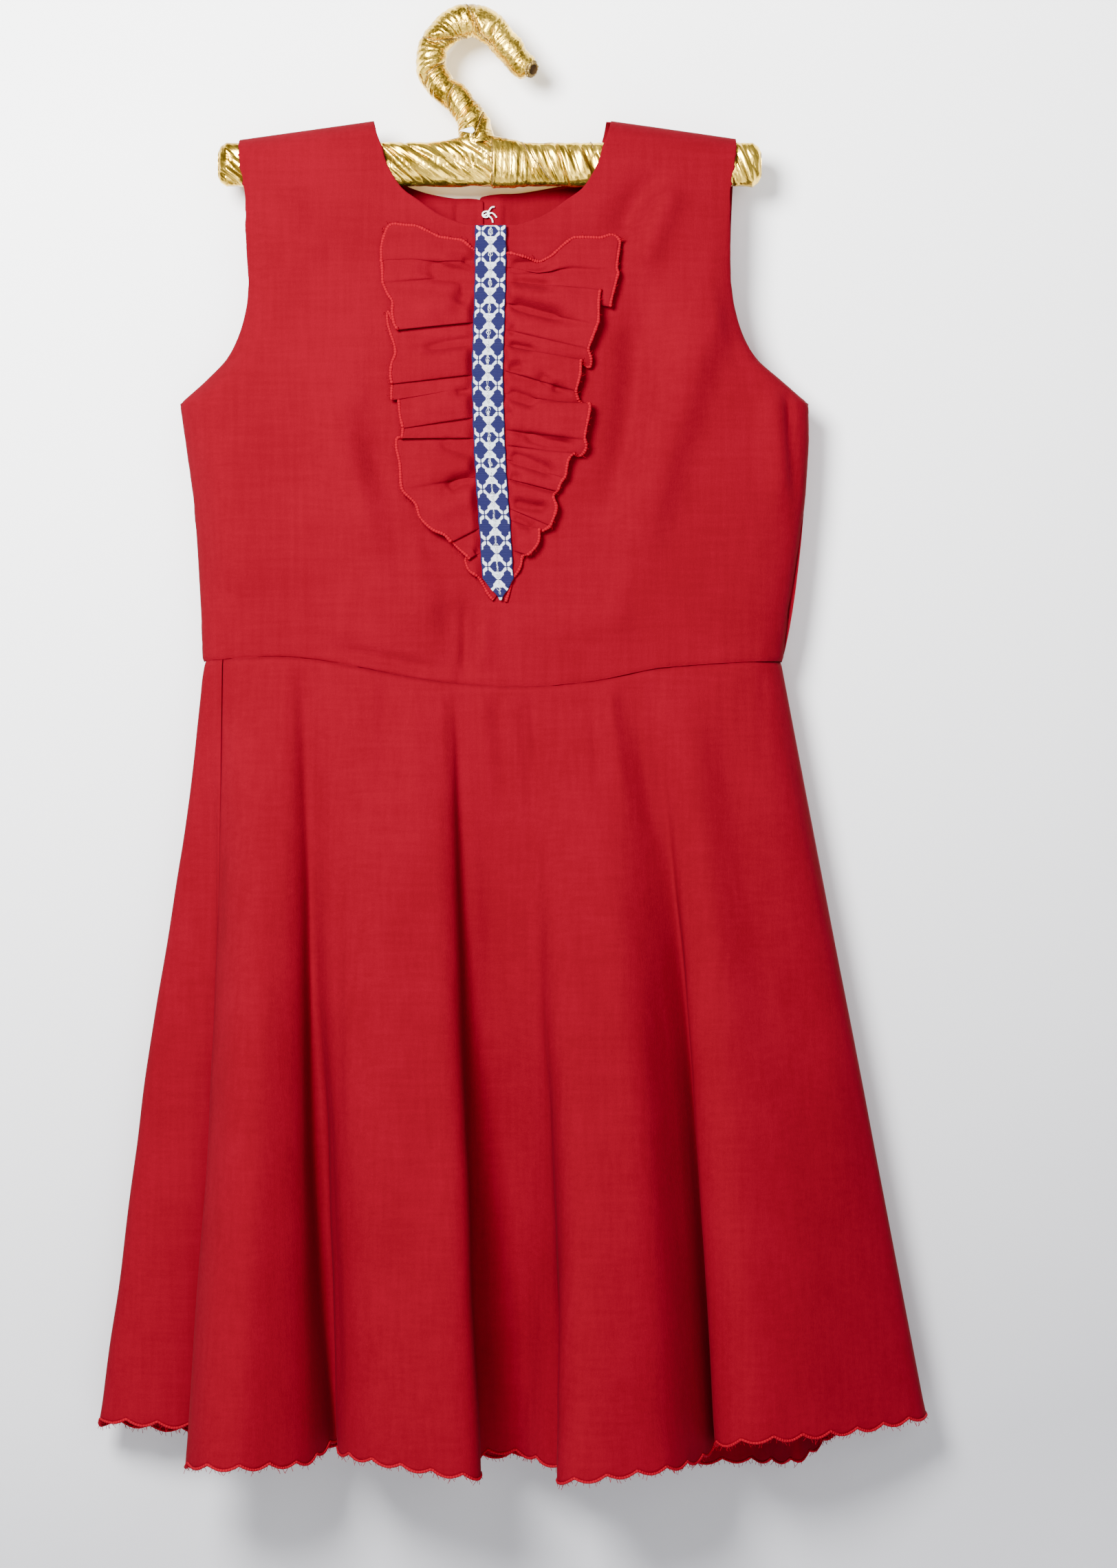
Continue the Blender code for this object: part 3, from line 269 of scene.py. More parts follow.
# How far the frills' top edges dip below a straight line, in view steps, by share of width
LEFT_TOP = (
    (0, 0), (0.14, 5), (0.25, -4), (0.48, 1), (0.56, -2), (0.7, -6), (0.82, -2), (0.92, 0), (0.97, 4),
    (1, 13),
)
RIGHT_TOP = (
    (0, 0), (0.12, 0), (0.25, 10), (0.36, 20), (0.46, 15), (0.55, 2), (0.63, -7), (0.74, -4), (0.85, 0),
    (0.93, -3), (0.97, 0), (1, 9),
)
FRILL_INNER = 1.4
FRILL_BASE = 1.9           # the frill's middle lies this far over the bodice's inner face
FRILL_SURFACE = -16.1      # the depth at which the frills' outer ends are read from the view
FRILL_CREASES = (
    (((690, 382), (671, 378)), 2.1, -1.5, 0), (((690, 399), (655, 396), (618, 391)), 3.9, -2.7, 0),
    (((690, 408), (676, 424), (666, 446)), 4.4, -2.2, 0),
    (((690, 390), (660, 386), (640, 376)), 3.9, 1.2, 0), (((690, 428), (650, 440), (600, 452)), 6.5, 1, 0),
    (((690, 497), (650, 503), (610, 508)), 2.6, -1.4, 0),
    (((690, 515), (640, 524), (600, 528)), 6.5, 0.8, 0), (((690, 566), (660, 572)), 2.6, -1.2, 0),
    (((690, 583), (640, 590), (600, 596)), 5.2, 0.8, 0),
    (((692, 662), (660, 650), (640, 640)), 3.4, -1.4, 0),
    (((694, 692), (665, 700), (650, 712)), 3.4, -2, 0), (((694, 676), (650, 684), (610, 690)), 6.5, 1, 0),
    (((694, 720), (660, 735), (625, 752)), 5.2, 0.8, 0), (((698, 801), (690, 806)), 2.1, -1.2, 0),
    (((736, 389), (770, 385), (800, 379)), 3.4, -2.4, 0),
    (((736, 407), (775, 412), (806, 417)), 2.9, -1.5, 0),
    (((736, 438), (776, 450), (830, 464)), 3.4, -2.1, 0),
    (((736, 423), (780, 430), (850, 436)), 5.2, 0.8, 0), (((736, 477), (750, 480)), 2.9, -1.5, 0),
    (((736, 500), (780, 508)), 2.3, -1.4, 0), (((736, 535), (762, 531)), 2.9, -1.7, 0),
    (((736, 571), (760, 580), (782, 590)), 2.9, -2, 0), (((784, 556), (795, 543)), 3.1, -1.2, 0),
    (((800, 562), (838, 571)), 2.6, -1.8, 0), (((736, 603), (746, 600)), 2.6, -1.2, 0),
    (((760, 632), (795, 643), (846, 646)), 2.9, -2.1, 0),
    (((736, 660), (769, 671), (817, 691)), 3.4, -2.2, 0), (((740, 692), (760, 695)), 2.9, -1.2, 0),
    (((740, 730), (770, 736), (804, 739)), 2.9, -2.1, 0),
    (((741, 750), (762, 760), (780, 771)), 2.6, -1.4, 0),
)
FRILL_STRENGTH = 2.1

# Stitched edges and loose threads: radius in mm, and the threads at a frill's top corner
HEM_EDGE = 0.95
HEM_THREAD = 0.13
FRILL_EDGE = 0.84
FRILL_THREAD = 0.11
CORNER_THREAD = 0.12
CORNER_THREADS = 16
FRAY_HAIR = 0.09

# Hanger bar
BAR_LEFT = -131.5
BAR_RIGHT = 148.5
BAR_TOP = -54.15
BAR_BOTTOM = -76.3
BAR_HUMP = 4.1
BAR_END = 4.5
BAR_HALF_DEPTH = 9.0
BAR_CORNER = 0.62
BAR_ARC = 12.5             # length of the bar's wrapping for each radian round it
BAR_PARTING = 9.6          # the wrapping's creases turn here
# Its sections: x, rise of the top as a share of the hump, how far the ends are drawn in
BAR_SECTIONS = np.array((
    (-131.5, 0, 4.5), (-130.1, 0, 1.8), (-127, 0, 0), (-24, 0, 0), (-14, 0.35, 0), (-6, 0.83, 0),
    (1.7, 1, 0), (9, 0.83, 0), (18, 0.35, 0), (28, 0, 0), (144, 0, 0), (147.1, 0, 1.8), (148.5, 0, 4.5),
))
# Frayed edges on the bar: route in the front view, points along it, radius in mm
BAR_FRAYS = (
    (((758, 207), (804, 266)), 14, 0.42),
    (((858, 203), (863, 216)), 5, 0.35),
    (((715, 196), (716, 268)), 12, 0.3),
    (((690, 206), (696, 213), (704, 220), (714, 228)), 4, 0.34),
)

# Hanger hook: x, z, radius along its middle
HOOK_LINE = np.array((
    (2.2, -54.6, 8.7), (1.4, -49.75, 8.9), (0.5, -45.2, 8.6), (-1.6, -40.2, 7.5), (-7.8, -31.6, 7),
    (-16, -24.5, 7), (-20.7, -18, 7), (-21.9, -11.2, 7.1), (-19.9, -3.3, 7.4), (-14.8, 3.6, 8),
    (-7.8, 8.2, 8.5), (-0.7, 9.1, 8.8), (6.4, 7.4, 8.4), (13.4, 1.6, 7.8), (19.3, -5.7, 7.1),
    (25.2, -12.7, 6.5), (30.2, -16.6, 5.6),
))
# The open tip of the hook: its place, the way it faces, and two directions across it
TIP_PLACE = np.array((30.6, -3.6, -16.2))
TIP_WAY = np.array((0.70, -0.62, -0.35))
TIP_UP = np.array((0.45, 0.0, 0.893))
TIP_SIDE = np.cross(TIP_WAY, TIP_UP)
# Overlapping edges of the wrapping on the hook, as the fold tables; some of them are frayed
HOOK_CREASES = (
    (((679, 5), (688, 26), (696, 48), (716, 67)), 0.9, -1.3, 0.3),
    (((686, 4), (694, 24), (702, 44), (722, 62)), 1.6, 0.8, 0),
    (((695, 8), (692, 26), (693, 42)), 0.6, -0.7, 0.2),
    (((719, 36), (716, 50), (714, 64)), 0.8, -0.9, 0.2), (((738, 36), (730, 44)), 0.7, -0.5, 0),
    (((614, 54), (632, 59), (652, 58), (678, 58)), 1, -1.3, 0.3),
    (((614, 47), (632, 50), (652, 50), (672, 51)), 2, 0.9, 0),
    (((617, 128), (620, 108), (632, 98), (648, 90)), 1, -1.3, 0.3),
    (((612, 116), (614, 102), (628, 92), (644, 84)), 2, 0.8, 0),
    (((652, 162), (651, 140), (661, 122)), 0.9, -0.9, 0.2),
    (((666, 173), (674, 160), (690, 142)), 0.9, -1.3, 0.3),
    (((672, 178), (682, 166), (696, 150)), 1.8, 0.7, 0),
    (((687, 202), (695, 183), (703, 163)), 1, -1.8, 0.3),
    (((693, 204), (703, 184), (710, 168)), 2.2, 1, 0),
)
FRAYED_CREASES = (0, 5, 7, 9, 12)
HOOK_STRENGTH = 1.25
HOOK_SIDES = 56

# Thread at the neck: radius of each strand, and its x, z and y from the knot
KNOT_X = 7.0
KNOT_Z = -89.0
TIE_STRANDS = (
    (0.42, ((-2.2, 0.9, 0.0), (-1.2, 1.5, -0.2), (0.3, 1.5, -0.3), (0.9, 0.6, -0.2), (0.6, -1.0, -0.2),
            (-0.6, -1.5, -0.3), (-1.9, -1.1, -0.2), (-2.4, -0.1, 0.0), (-2.2, 0.9, 0.0))),
    (0.4, ((0.2, 0.6, -0.4), (1.2, 2.2, -0.7), (2.3, 3.6, -0.5), (3.7, 3.9, -0.2))),
    (0.4, ((0.6, 0.2, -0.4), (2.2, 0.7, -0.7), (3.6, 0.0, -0.5), (4.9, -1.6, -0.2))),
    (0.4, ((0.2, -0.5, -0.4), (1.4, -1.2, -0.7), (2.6, -2.6, -0.4), (2.9, -4.2, -0.2))),
    (0.45, ((-2.0, -0.6, 0.0), (-0.8, -0.2, -0.6), (0.6, 0.4, -0.6))),
)

# Surroundings, in metres
ROOM_SIDE = 3.0
ROOM_NEAR = -4.0
ROOM_FAR = 3.0
FLOOR_Z = -1.3
WALL_TOP = 2.0
WALL_Y = 0.024


# Small helpers

def curve(before, low, high, after, part):
    """The smooth way from low to high, given their neighbours."""
    return 0.5 * (2 * low + (high - before) * part
                  + (2 * before - 5 * low + 4 * high - after) * part ** 2
                  + (3 * low - before - 3 * high + after) * part ** 3)


def smooth_rows(rows, places):
    """A smooth curve through evenly numbered rows, read at fractional places."""
    rows = np.asarray(rows, float)
    places = np.clip(np.asarray(places, float), 0, len(rows) - 1)
    index = np.minimum(places.astype(int), len(rows) - 2)
    near = (rows[np.clip(index + step, 0, len(rows) - 1)] for step in (-1, 0, 1, 2))
    return curve(*near, (places - index)[..., None])


def read_smooth(table, keys, column):
    """A table's column on a smooth curve, at keys in its first column."""
    rows = table if table[0][0] < table[-1][0] else table[::-1]
    places = np.interp(keys, rows[:, 0], np.arange(len(rows)))
    return smooth_rows(rows[:, column:column + 1], places)[..., 0]


def read_falling(table, keys, key, value):
    """A table's value column in straight steps, at keys in a column that falls."""
    return np.interp(keys, table[::-1, key], table[::-1, value])


def mix(low, high, share):
    return low + (high - low) * share


def ramp(value, low, high):
    """0 up to low, 1 from high, smooth between."""
    share = np.clip((value - low) / (high - low), 0, 1)
    return share * share * (3 - 2 * share)


def bell(distance, reach):
    """1 at no distance, fading out past the reach."""
    return np.exp(-(distance / reach) ** 2)


def run_lengths(path):
    """Length along a path of points, at each of them."""
    return np.concatenate(((0.0,), np.cumsum(np.linalg.norm(np.diff(path, axis=0), axis=1))))


def read_along(path, lengths, places):
    """Points of a path at lengths along it."""
    return np.stack([np.interp(places, lengths, path[:, axis]) for axis in range(3)], axis=-1)


def seen(points):
    """Where points are seen from the front, in mm on the middle plane."""
    scale = VIEW_DISTANCE / (VIEW_DISTANCE + points[..., 1])
    return np.stack((VIEW_X + (points[..., 0] - VIEW_X) * scale,
                     VIEW_Z + (points[..., 2] - VIEW_Z) * scale), axis=-1)


def view_mm(right, down):
    """A place in the front view, in mm on the middle plane."""
    return np.stack(((np.asarray(right, float) - VIEW_LEFT) * STEP,
                     (VIEW_TOP - np.asarray(down, float)) * STEP), axis=-1)


def behind(right, down, depth):
    """The x and z of a point seen at a place in the front view, at a depth y."""
    flat = view_mm(right, down)
    scale = (VIEW_DISTANCE + depth) / VIEW_DISTANCE
    return (VIEW_X + (flat[..., 0] - VIEW_X) * scale, VIEW_Z + (flat[..., 1] - VIEW_Z) * scale)


def creases(points, table):
    """Height of the soft folds of a table at each point, in mm."""
    view = seen(points)
    total = np.zeros(view.shape[:-1])
    for route, width, height, lean in table:
        line = view_mm(*np.array(route, float).T)
        nearest = np.full(total.shape, np.inf)
        side = np.zeros(total.shape)
        along = np.zeros(total.shape)
        for index, (start, end) in enumerate(zip(line, line[1:])):
            way = end - start
            part = np.clip(((view - start) @ way) / (way @ way), 0, 1)
            off = view - start - part[..., None] * way
            distance = np.hypot(off[..., 0], off[..., 1])
            closer = distance < nearest
            nearest = np.where(closer, distance, nearest)
            turn = way[0] * off[..., 1] - way[1] * off[..., 0]
            side = np.where(closer, np.sign(turn), side)
            along = np.where(closer, (index + part) / (len(line) - 1), along)
        ends = ramp(along, 0, 0.25) * ramp(1 - along, 0, 0.25)
        total += height * (0.25 + 0.75 * ends) * bell(nearest, width * (1 - lean * side))
    return total


def lattice_noise(across, along, seed):
    """Smooth noise from 0 to 1 over a plane, with cells of size 1."""
    table = np.random.default_rng(seed).random((64, 64))
    column = np.floor(across).astype(int)
    row = np.floor(along).astype(int)
    right = ramp(across - column, 0, 1)
    down = ramp(along - row, 0, 1)
    corners = [table[(column + i) % 64, (row + j) % 64] for i in (0, 1) for j in (0, 1)]
    return mix(mix(corners[0], corners[1], down), mix(corners[2], corners[3], down), right)


def normals(points):
    """Unit normals of a grid of points."""
    found = np.cross(np.gradient(points, axis=1), np.gradient(points, axis=0))
    return found / np.maximum(np.linalg.norm(found, axis=-1, keepdims=True), 1e-9)


def turns(count):
    """Angles spaced evenly round a circle."""
    return np.linspace(0.0, math.tau, count, endpoint=False)


def drawn(chance, *spans):
    """One number drawn from each span, in order."""
    return np.array([chance.uniform(*span) for span in spans])


# Materials

def connect(tree, socket, value):
    """A value or another node's output on a socket."""
    if isinstance(value, bpy.types.NodeSocket):
        tree.links.new(value, socket)
    else:
        socket.default_value = value


def add_node(tree, kind, **inputs):
    """A node of a kind with its inputs connected."""
    node = tree.nodes.new("ShaderNode" + kind)
    for name, value in inputs.items():
        connect(tree, node.inputs[name], value)
    return node


def calc(tree, operation, *values):
    """A maths node; each value is a number or another node's output."""
    node = add_node(tree, "Math")
    node.operation = operation
    for socket, value in zip(node.inputs, values):
        connect(tree, socket, value)
    return node.outputs[0]


def parts_of(tree, kind, output):
    """X, Y and Z of the coordinates that a kind of node gives."""
    return add_node(tree, "SeparateXYZ", Vector=add_node(tree, kind).outputs[output]).outputs


def noise_node(tree, scale, detail=2.0, stretch=(1.0, 1.0, 1.0), turn=None):
    """Noise in the object's own space; with a turn it is drawn out into slanted streaks."""
    where = add_node(tree, "Mapping", Vector=add_node(tree, "TexCoord").outputs["Object"], Scale=stretch)
    if turn is not None:
        where.vector_type = "TEXTURE"
        where.inputs["Rotation"].default_value = (0.0, math.radians(turn), 0.0)
    noise = add_node(tree, "TexNoise", Vector=where.outputs["Vector"], Scale=scale, Detail=detail)
    return noise.outputs["Fac"]


def new_material(name, colour, roughness, **inputs):
    """A material, its node tree and its shader; an input's name has _ for each space."""
    material = bpy.data.materials.new(name)
    material.use_nodes = True
    shader = material.node_tree.nodes["Principled BSDF"]
    inputs = {"Base Color": (*colour, 1.0), "Roughness": roughness, **inputs}
    for key, value in inputs.items():
        shader.inputs[key.replace("_", " ")].default_value = value
    return material, material.node_tree, shader


def paint(tree, shader, factor, dark, light, low=0.3, high=0.7):
    """The shader's colour from a factor: dark at low and light at high."""
    node = add_node(tree, "ValToRGB", Fac=factor)
    for element, place, colour in zip(node.color_ramp.elements, (low, high), (dark, light)):
        element.position = place
        element.color = (*colour, 1.0)
    connect(tree, shader.inputs["Base Color"], node.outputs["Color"])


def add_bump(tree, shader, height, strength, distance):
    node = add_node(tree, "Bump", Strength=strength, Distance=distance, Height=height)
    connect(tree, shader.inputs["Normal"], node.outputs["Normal"])


def red_cloth():
    """Plain weave with long slubs both ways and slow changes of shade."""
    material, tree, shader = new_material(
        "red_cloth", (0.10, 0.0002, 0.0048), 0.92, Sheen_Weight=0.005, Sheen_Roughness=0.5,
        Sheen_Tint=(1.0, 0.10, 0.12, 1.0), Specular_IOR_Level=0.05)
    blend = calc(tree, "MULTIPLY", noise_node(tree, 22.0, 4.0), 0.35)
    for scale, stretch, share in ((900.0, (1.0, 1.0, 1.0), 0.15),
                                  (420.0, (0.07, 1.0, 1.0), 0.25), (420.0, (1.0, 1.0, 0.07), 0.25)):
        blend = calc(tree, "MULTIPLY_ADD", noise_node(tree, scale, 3.0, stretch), share, blend)
    paint(tree, shader, blend, (0.101, 0.0001, 0.0042), (0.119, 0.0002, 0.0056), 0.40, 0.60)
    warp = noise_node(tree, 1500.0, 1.0, (1.0, 1.0, 0.25))
    weft = noise_node(tree, 1500.0, 1.0, (0.25, 1.0, 1.0))
    add_bump(tree, shader, calc(tree, "ADD", warp, weft), 0.22, 0.0004)
    return material


def red_stitching():
    """Close stitches across a tube, one every 1.4 mm."""
    material, tree, shader = new_material("red_stitching", (0.19, 0.001, 0.010), 0.8,
                                          Specular_IOR_Level=0.03)
    along = parts_of(tree, "UVMap", "UV")["X"]
    wave = calc(tree, "SINE", calc(tree, "MULTIPLY", along, math.tau / 0.0014))
    # painted shade: the stitches' colour is darker in the grooves between them, on the same wave as the bump
    paint(tree, shader, calc(tree, "MULTIPLY_ADD", wave, 0.5, 0.5),
          (0.168, 0.0003, 0.0065), (0.222, 0.0006, 0.0088))
    add_bump(tree, shader, wave, 0.5, 0.0003)
    return material


def ribbon_cloth():
    """Navy quatrefoils in a white lattice, woven in ribs; measures are in mm, UV in tenths of a metre."""
    material, tree, shader = new_material("woven_ribbon", (0.008, 0.011, 0.06), 0.6,
                                          Specular_IOR_Level=0.12)

    def maths(operation, *values):
        return calc(tree, operation, *values)

    def inside(value, full, end, reach, off):
        """How far a point is inside an arm that tapers from full to its end."""
        share = maths("MULTIPLY_ADD", value, -1.0 / (end - full), end / (end - full))
        taper = add_node(tree, "Clamp", Value=share).outputs["Result"]
        return maths("SUBTRACT", maths("MULTIPLY", taper, reach), off)

    uv = parts_of(tree, "UVMap", "UV")
    along = maths("MULTIPLY", uv["Y"], 100.0)
    out = maths("ABSOLUTE", maths("SNAP", maths("MULTIPLY", uv["X"], 100.0), 0.22))
    half = PATTERN_PITCH / 2.0
    turn = maths("ADD", maths("SNAP", along, 0.30), 3 * half - PATTERN_FIRST)
    across_lobe = maths("ABSOLUTE", maths("SUBTRACT", out, 4.86))
    from_lobe = maths("ABSOLUTE", maths("SUBTRACT", maths("MODULO", turn, PATTERN_PITCH), half))
    from_lattice = maths("SUBTRACT", half, from_lobe)
    edge_rise = 2.0 / 2.2
    border = maths("MULTIPLY_ADD", out, edge_rise, 2.0 - edge_rise * 8.2)
    shape = maths("SUBTRACT", out, 7.75)
    for part in (inside(from_lobe, 3.6, 4.8, 1.65, across_lobe),
                 inside(across_lobe, 2.2, 3.9, 1.95, from_lobe),
                 inside(out, 1.9, 3.9, 2.3, from_lattice),
                 maths("SUBTRACT", border, from_lattice)):
        shape = maths("MAXIMUM", shape, part)
    rib = maths("SINE", maths("MULTIPLY", along, math.tau / 0.9))
    factor = maths("MULTIPLY_ADD", rib, 0.10, maths("MULTIPLY_ADD", shape, 4.0, 1.7))
    paint(tree, shader, factor, (0.47, 0.50, 0.555), (0.006, 0.006, 0.042), 0.25, 0.75)
    add_bump(tree, shader, rib, 0.45, 0.0003)
    return material


def gold_wrapping(name, turned):
    """Gold wrapping cloth; on the bar its fine creases slant, less to the right of the parting; its colour
    is painted shade in the crease valleys and painted highlights on the crests.
    """
    material, tree, shader = new_material(name, (0.66, 0.44, 0.05), 0.3, Metallic=0.92,
                                          Specular_IOR_Level=0.5)
    flecks = noise_node(tree, 900.0, 3.0)
    lines = flecks
    if turned:
        left, right = (noise_node(tree, 520.0, 2.0, (1.0, 1.0, 14.0), turn) for turn in (-53.0, -20.0))
        over = calc(tree, "GREATER_THAN", parts_of(tree, "TexCoord", "Object")["X"], BAR_PARTING * MM)
        lines = calc(tree, "ADD", calc(tree, "MULTIPLY", left, calc(tree, "SUBTRACT", 1.0, over)),
                     calc(tree, "MULTIPLY", right, over))
    # painted shade and painted highlights: the colour follows the crease noise that also makes the bump,
    # dark in the valleys and light on the crests; the broad noise adds uneven tone
    blend = calc(tree, "ADD", calc(tree, "MULTIPLY", lines, 0.5),
                 calc(tree, "MULTIPLY", noise_node(tree, 75.0, 3.0), 0.5))
    paint(tree, shader, blend, (0.22, 0.125, 0.006), (0.92, 0.62, 0.085), 0.38, 0.60)
    connect(tree, shader.inputs["Roughness"], calc(tree, "MULTIPLY_ADD", flecks, 0.30, 0.07))
    add_bump(tree, shader, lines, 0.6, 0.0005 if turned else 0.0003)
    return material


def plain(name, colour, roughness, bump_scale=600.0, **inputs):
    material, tree, shader = new_material(name, colour, roughness, **inputs)
    add_bump(tree, shader, noise_node(tree, bump_scale), 0.25, 0.0002)
    return material


# Meshes

def put(name, data):
    """A new object in the scene."""
    thing = bpy.data.objects.new(name, data)
    bpy.context.scene.collection.objects.link(thing)
    return thing


def make_object(mesh, material, replaced=(), thickness=0.0):
    """A piece from a mesh, thickened where a thickness in mm is given."""
    thing = put(mesh.name, mesh)
    mesh.materials.append(material)
    mesh.shade_smooth()
    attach(thing, "root")
    for node in replaced:
        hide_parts(node)
    if thickness:
        wall = thing.modifiers.new("wall", "SOLIDIFY")
        wall.thickness = thickness * MM
        wall.offset = 0.0
        wall.use_rim = True
    return thing


def new_mesh(name, points, faces, coords=None):
    """A mesh from points in mm, with a UV coordinate for each point where they are given."""
    mesh = bpy.data.meshes.new(name)
    mesh.from_pydata((points * MM).tolist(), [], faces)
    if coords is not None:
        corners = np.array([loop.vertex_index for loop in mesh.loops])
        layer = mesh.uv_layers.new(name="UVMap")
        layer.data.foreach_set("uv", coords[corners].astype(np.float32).reshape(-1))
    return mesh


def grid_quads(rows, columns, first, around=False):
    """Quads of a grid of points; around joins its last column to its first."""
    row, column = np.meshgrid(np.arange(rows - 1), np.arange(columns - (not around)), indexing="ij")
    after = (column + 1) % columns
    quads = np.stack((row * columns + column, row * columns + after,
                      (row + 1) * columns + after, (row + 1) * columns + column), axis=-1)
    return quads.reshape(-1, 4) + first


def grids_mesh(name, grids, coords=None):
    """One mesh from grids of points, each with its winding turned or not; two grids are welded."""
    faces = []
    first = 0
    for grid, flip in grids:
        quads = grid_quads(*grid.shape[:2], first)
        faces += (quads[:, ::-1] if flip else quads).tolist()
        first += grid.shape[0] * grid.shape[1]
    mesh = new_mesh(name, np.concatenate([grid.reshape(-1, 3) for grid, flip in grids]), faces, coords)
    if len(grids) > 1:
        work = bmesh.new()
        work.from_mesh(mesh)
        bmesh.ops.remove_doubles(work, verts=work.verts, dist=0.00002)
        work.to_mesh(mesh)
        work.free()
    return mesh


def tube_grid(route, radius, sides=8, flat=1.0, facing=(0.0, 1.0, 0.0)):
    """Rings round a route of points in mm; flat squeezes them across the facing direction."""
    route = np.asarray(route, float)
    radius = np.broadcast_to(np.asarray(radius, float), (len(route),))
    ahead = np.gradient(route, axis=0)
    ahead /= np.maximum(np.linalg.norm(ahead, axis=1, keepdims=True), 1e-9)
    side = np.cross(ahead, np.tile(np.array(facing), (len(route), 1)))
    short = np.linalg.norm(side, axis=1, keepdims=True) < 1e-3
    side = np.where(short, np.cross(ahead, (0.3, 0.2, 0.9)), side)
    side /= np.linalg.norm(side, axis=1, keepdims=True)
    up = np.cross(side, ahead)
    angles = turns(sides)
    return (route[:, None] + radius[:, None, None]
            * (np.cos(angles)[None, :, None] * side[:, None]
               + flat * np.sin(angles)[None, :, None] * up[:, None]))


def hair(start, way, bend, count, radius):
    """A short thread from its start along a way, bent off it."""
    steps = np.linspace(0.0, 1.0, count)[:, None]
    return tube_grid(start + steps * way + steps ** 2 * bend, radius, 4)


def uneven(chance, count, radius, swing):
    """An uneven radius along a tube's route."""
    wander = drawn(chance, *[(-swing, swing)] * count)
    return radius + np.convolve(wander, np.ones(3) / 3.0, mode="same")


def tubes_object(name, tubes, material, replaced=()):
    """One piece from tubes given as rings, with UV along each in metres, ends closed."""
    faces = []
    coords = []
    first = 0
    for rings in tubes:
        count, sides = rings.shape[:2]
        last = first + (count - 1) * sides
        faces += grid_quads(count, sides, first, True).tolist()
        faces += [list(range(first, first + sides)), list(range(last, last + sides))[::-1]]
        length = run_lengths(rings.mean(axis=1)) * MM
        coords.append(np.stack((np.repeat(length, sides), np.tile(np.arange(sides) / sides, count)), -1))
        first += count * sides
    points = np.concatenate([rings.reshape(-1, 3) for rings in tubes])
    return make_object(new_mesh(name, points, faces, np.concatenate(coords)), material, replaced)


# Bodice

def bodice_depth(x, z, column):
    """Distance of the bodice's inner face from the middle plane, for the column FRONT or BACK."""
    width = np.where(x < DRESS_AXIS, read_falling(FRONT_ROWS, z, 4, 2), read_falling(FRONT_ROWS, z, 4, 3))
    share = np.minimum(np.abs(x - DRESS_AXIS) / width, 1.0)
    edge = read_falling(DEPTHS, z, 0, 3)
    full = read_falling(DEPTHS, z, 0, column)
    depth = edge + (full - edge) * np.sqrt(np.maximum(1.0 - share ** SIDE_ROUND, 0.0))
    slope = (SHOULDER_ARM[1] - SHOULDER_NECK[1]) / (SHOULDER_ARM[0] - SHOULDER_NECK[0])
    top = SHOULDER_NECK[1] + slope * (np.abs(x - DRESS_AXIS) - SHOULDER_NECK[0])
    drop = np.clip((top - z) / SHOULDER_ROUND, 0.0, 1.0)
    return np.maximum(depth * np.sqrt(1.0 - (1.0 - drop) ** 2), SEAM_GAP / 2.0)


def waist_line(x, column):
    return read_smooth(WAIST_SEAM, x, column)


def bodice_columns():
    straight = np.linspace(0.0, 0.94, 84)
    rounding = 1.0 - 0.06 * (1.0 - np.linspace(0.0, 1.0, 14)[1:]) ** 3
    return np.concatenate((straight, rounding))


def bodice_rows(table):
    """Fine rows through a bodice table, closer together over the shoulder."""
    places = np.concatenate((np.linspace(0, 5, 40, endpoint=False),
                             np.linspace(5, len(table) - 1, 130)))
    return smooth_rows(table, places), places


def bodice_panel(rows, side, column, inner, inner_z):
    """Inner face of half a bodice panel, from its inner end outwards."""
    outer = rows[:, -3] if side < 0 else rows[:, -2]
    outer_z = rows[:, -1]
    share = bodice_columns()[None, :]
    x = DRESS_AXIS + side * mix(inner[:, None], outer[:, None], share)
    low = (ARMHOLE_FOOT - outer_z) / (ARMHOLE_FOOT - SIDE_WAIST_Z)
    z = mix(mix(inner_z[:, None], outer_z[:, None], share), waist_line(x, column),
            np.clip(low, 0.0, 1.0)[:, None] ** 2)
    y = bodice_depth(x, z, column) * (-1 if column == FRONT else 1)
    return np.stack((x, y, z), axis=-1)


def outward(face, column):
    """Normals of a bodice face, pointing out of the dress."""
    out = normals(face)
    return out * (np.sign(out[100, 40, 1]) * (-1 if column == FRONT else 1))


def lifted(face, out, relief):
    """The cloth's middle over a solid's inner face."""
    return face + out * (CLOTH_MIDDLE + relief)[..., None]


def seam_groove(points, column):
    """Depth of the groove where the bodice meets the skirt."""
    return -0.55 * bell(points[..., 2] - waist_line(points[..., 0], column), 1.1)


def puckers(points, seed, reach, height):
    """Small gathers above or below the waist seam."""
    ripple = lattice_noise(points[..., 0] / 5.5, points[..., 2] / 60.0 + 7.0, seed) - 0.5
    fine = lattice_noise(points[..., 0] / 2.6 + 11.0, points[..., 2] / 60.0, seed + 1) - 0.5
    away = np.abs(points[..., 2] - waist_line(points[..., 0], FRONT))
    return height * (ripple + 0.5 * fine) * np.exp(-away / reach)


def rolling(points, seed, size, height):
    """Slow unevenness of hanging cloth."""
    first = lattice_noise(points[..., 0] / size + 20.0, points[..., 2] / (1.7 * size) + 40.0, seed)
    second = lattice_noise(points[..., 0] / (0.45 * size) + 20.0,
                           points[..., 2] / (0.8 * size) + 40.0, seed + 1)
    return height * (first - 0.5 + 0.35 * (second - 0.5))


def bodice_fades(face):
    """Shares that fade the relief out at the bodice's sides, and over its shoulders."""
    return ramp(1.0 - bodice_columns()[None, :], 0.0, 0.10), ramp(-face[..., 2], 60.0, 90.0)


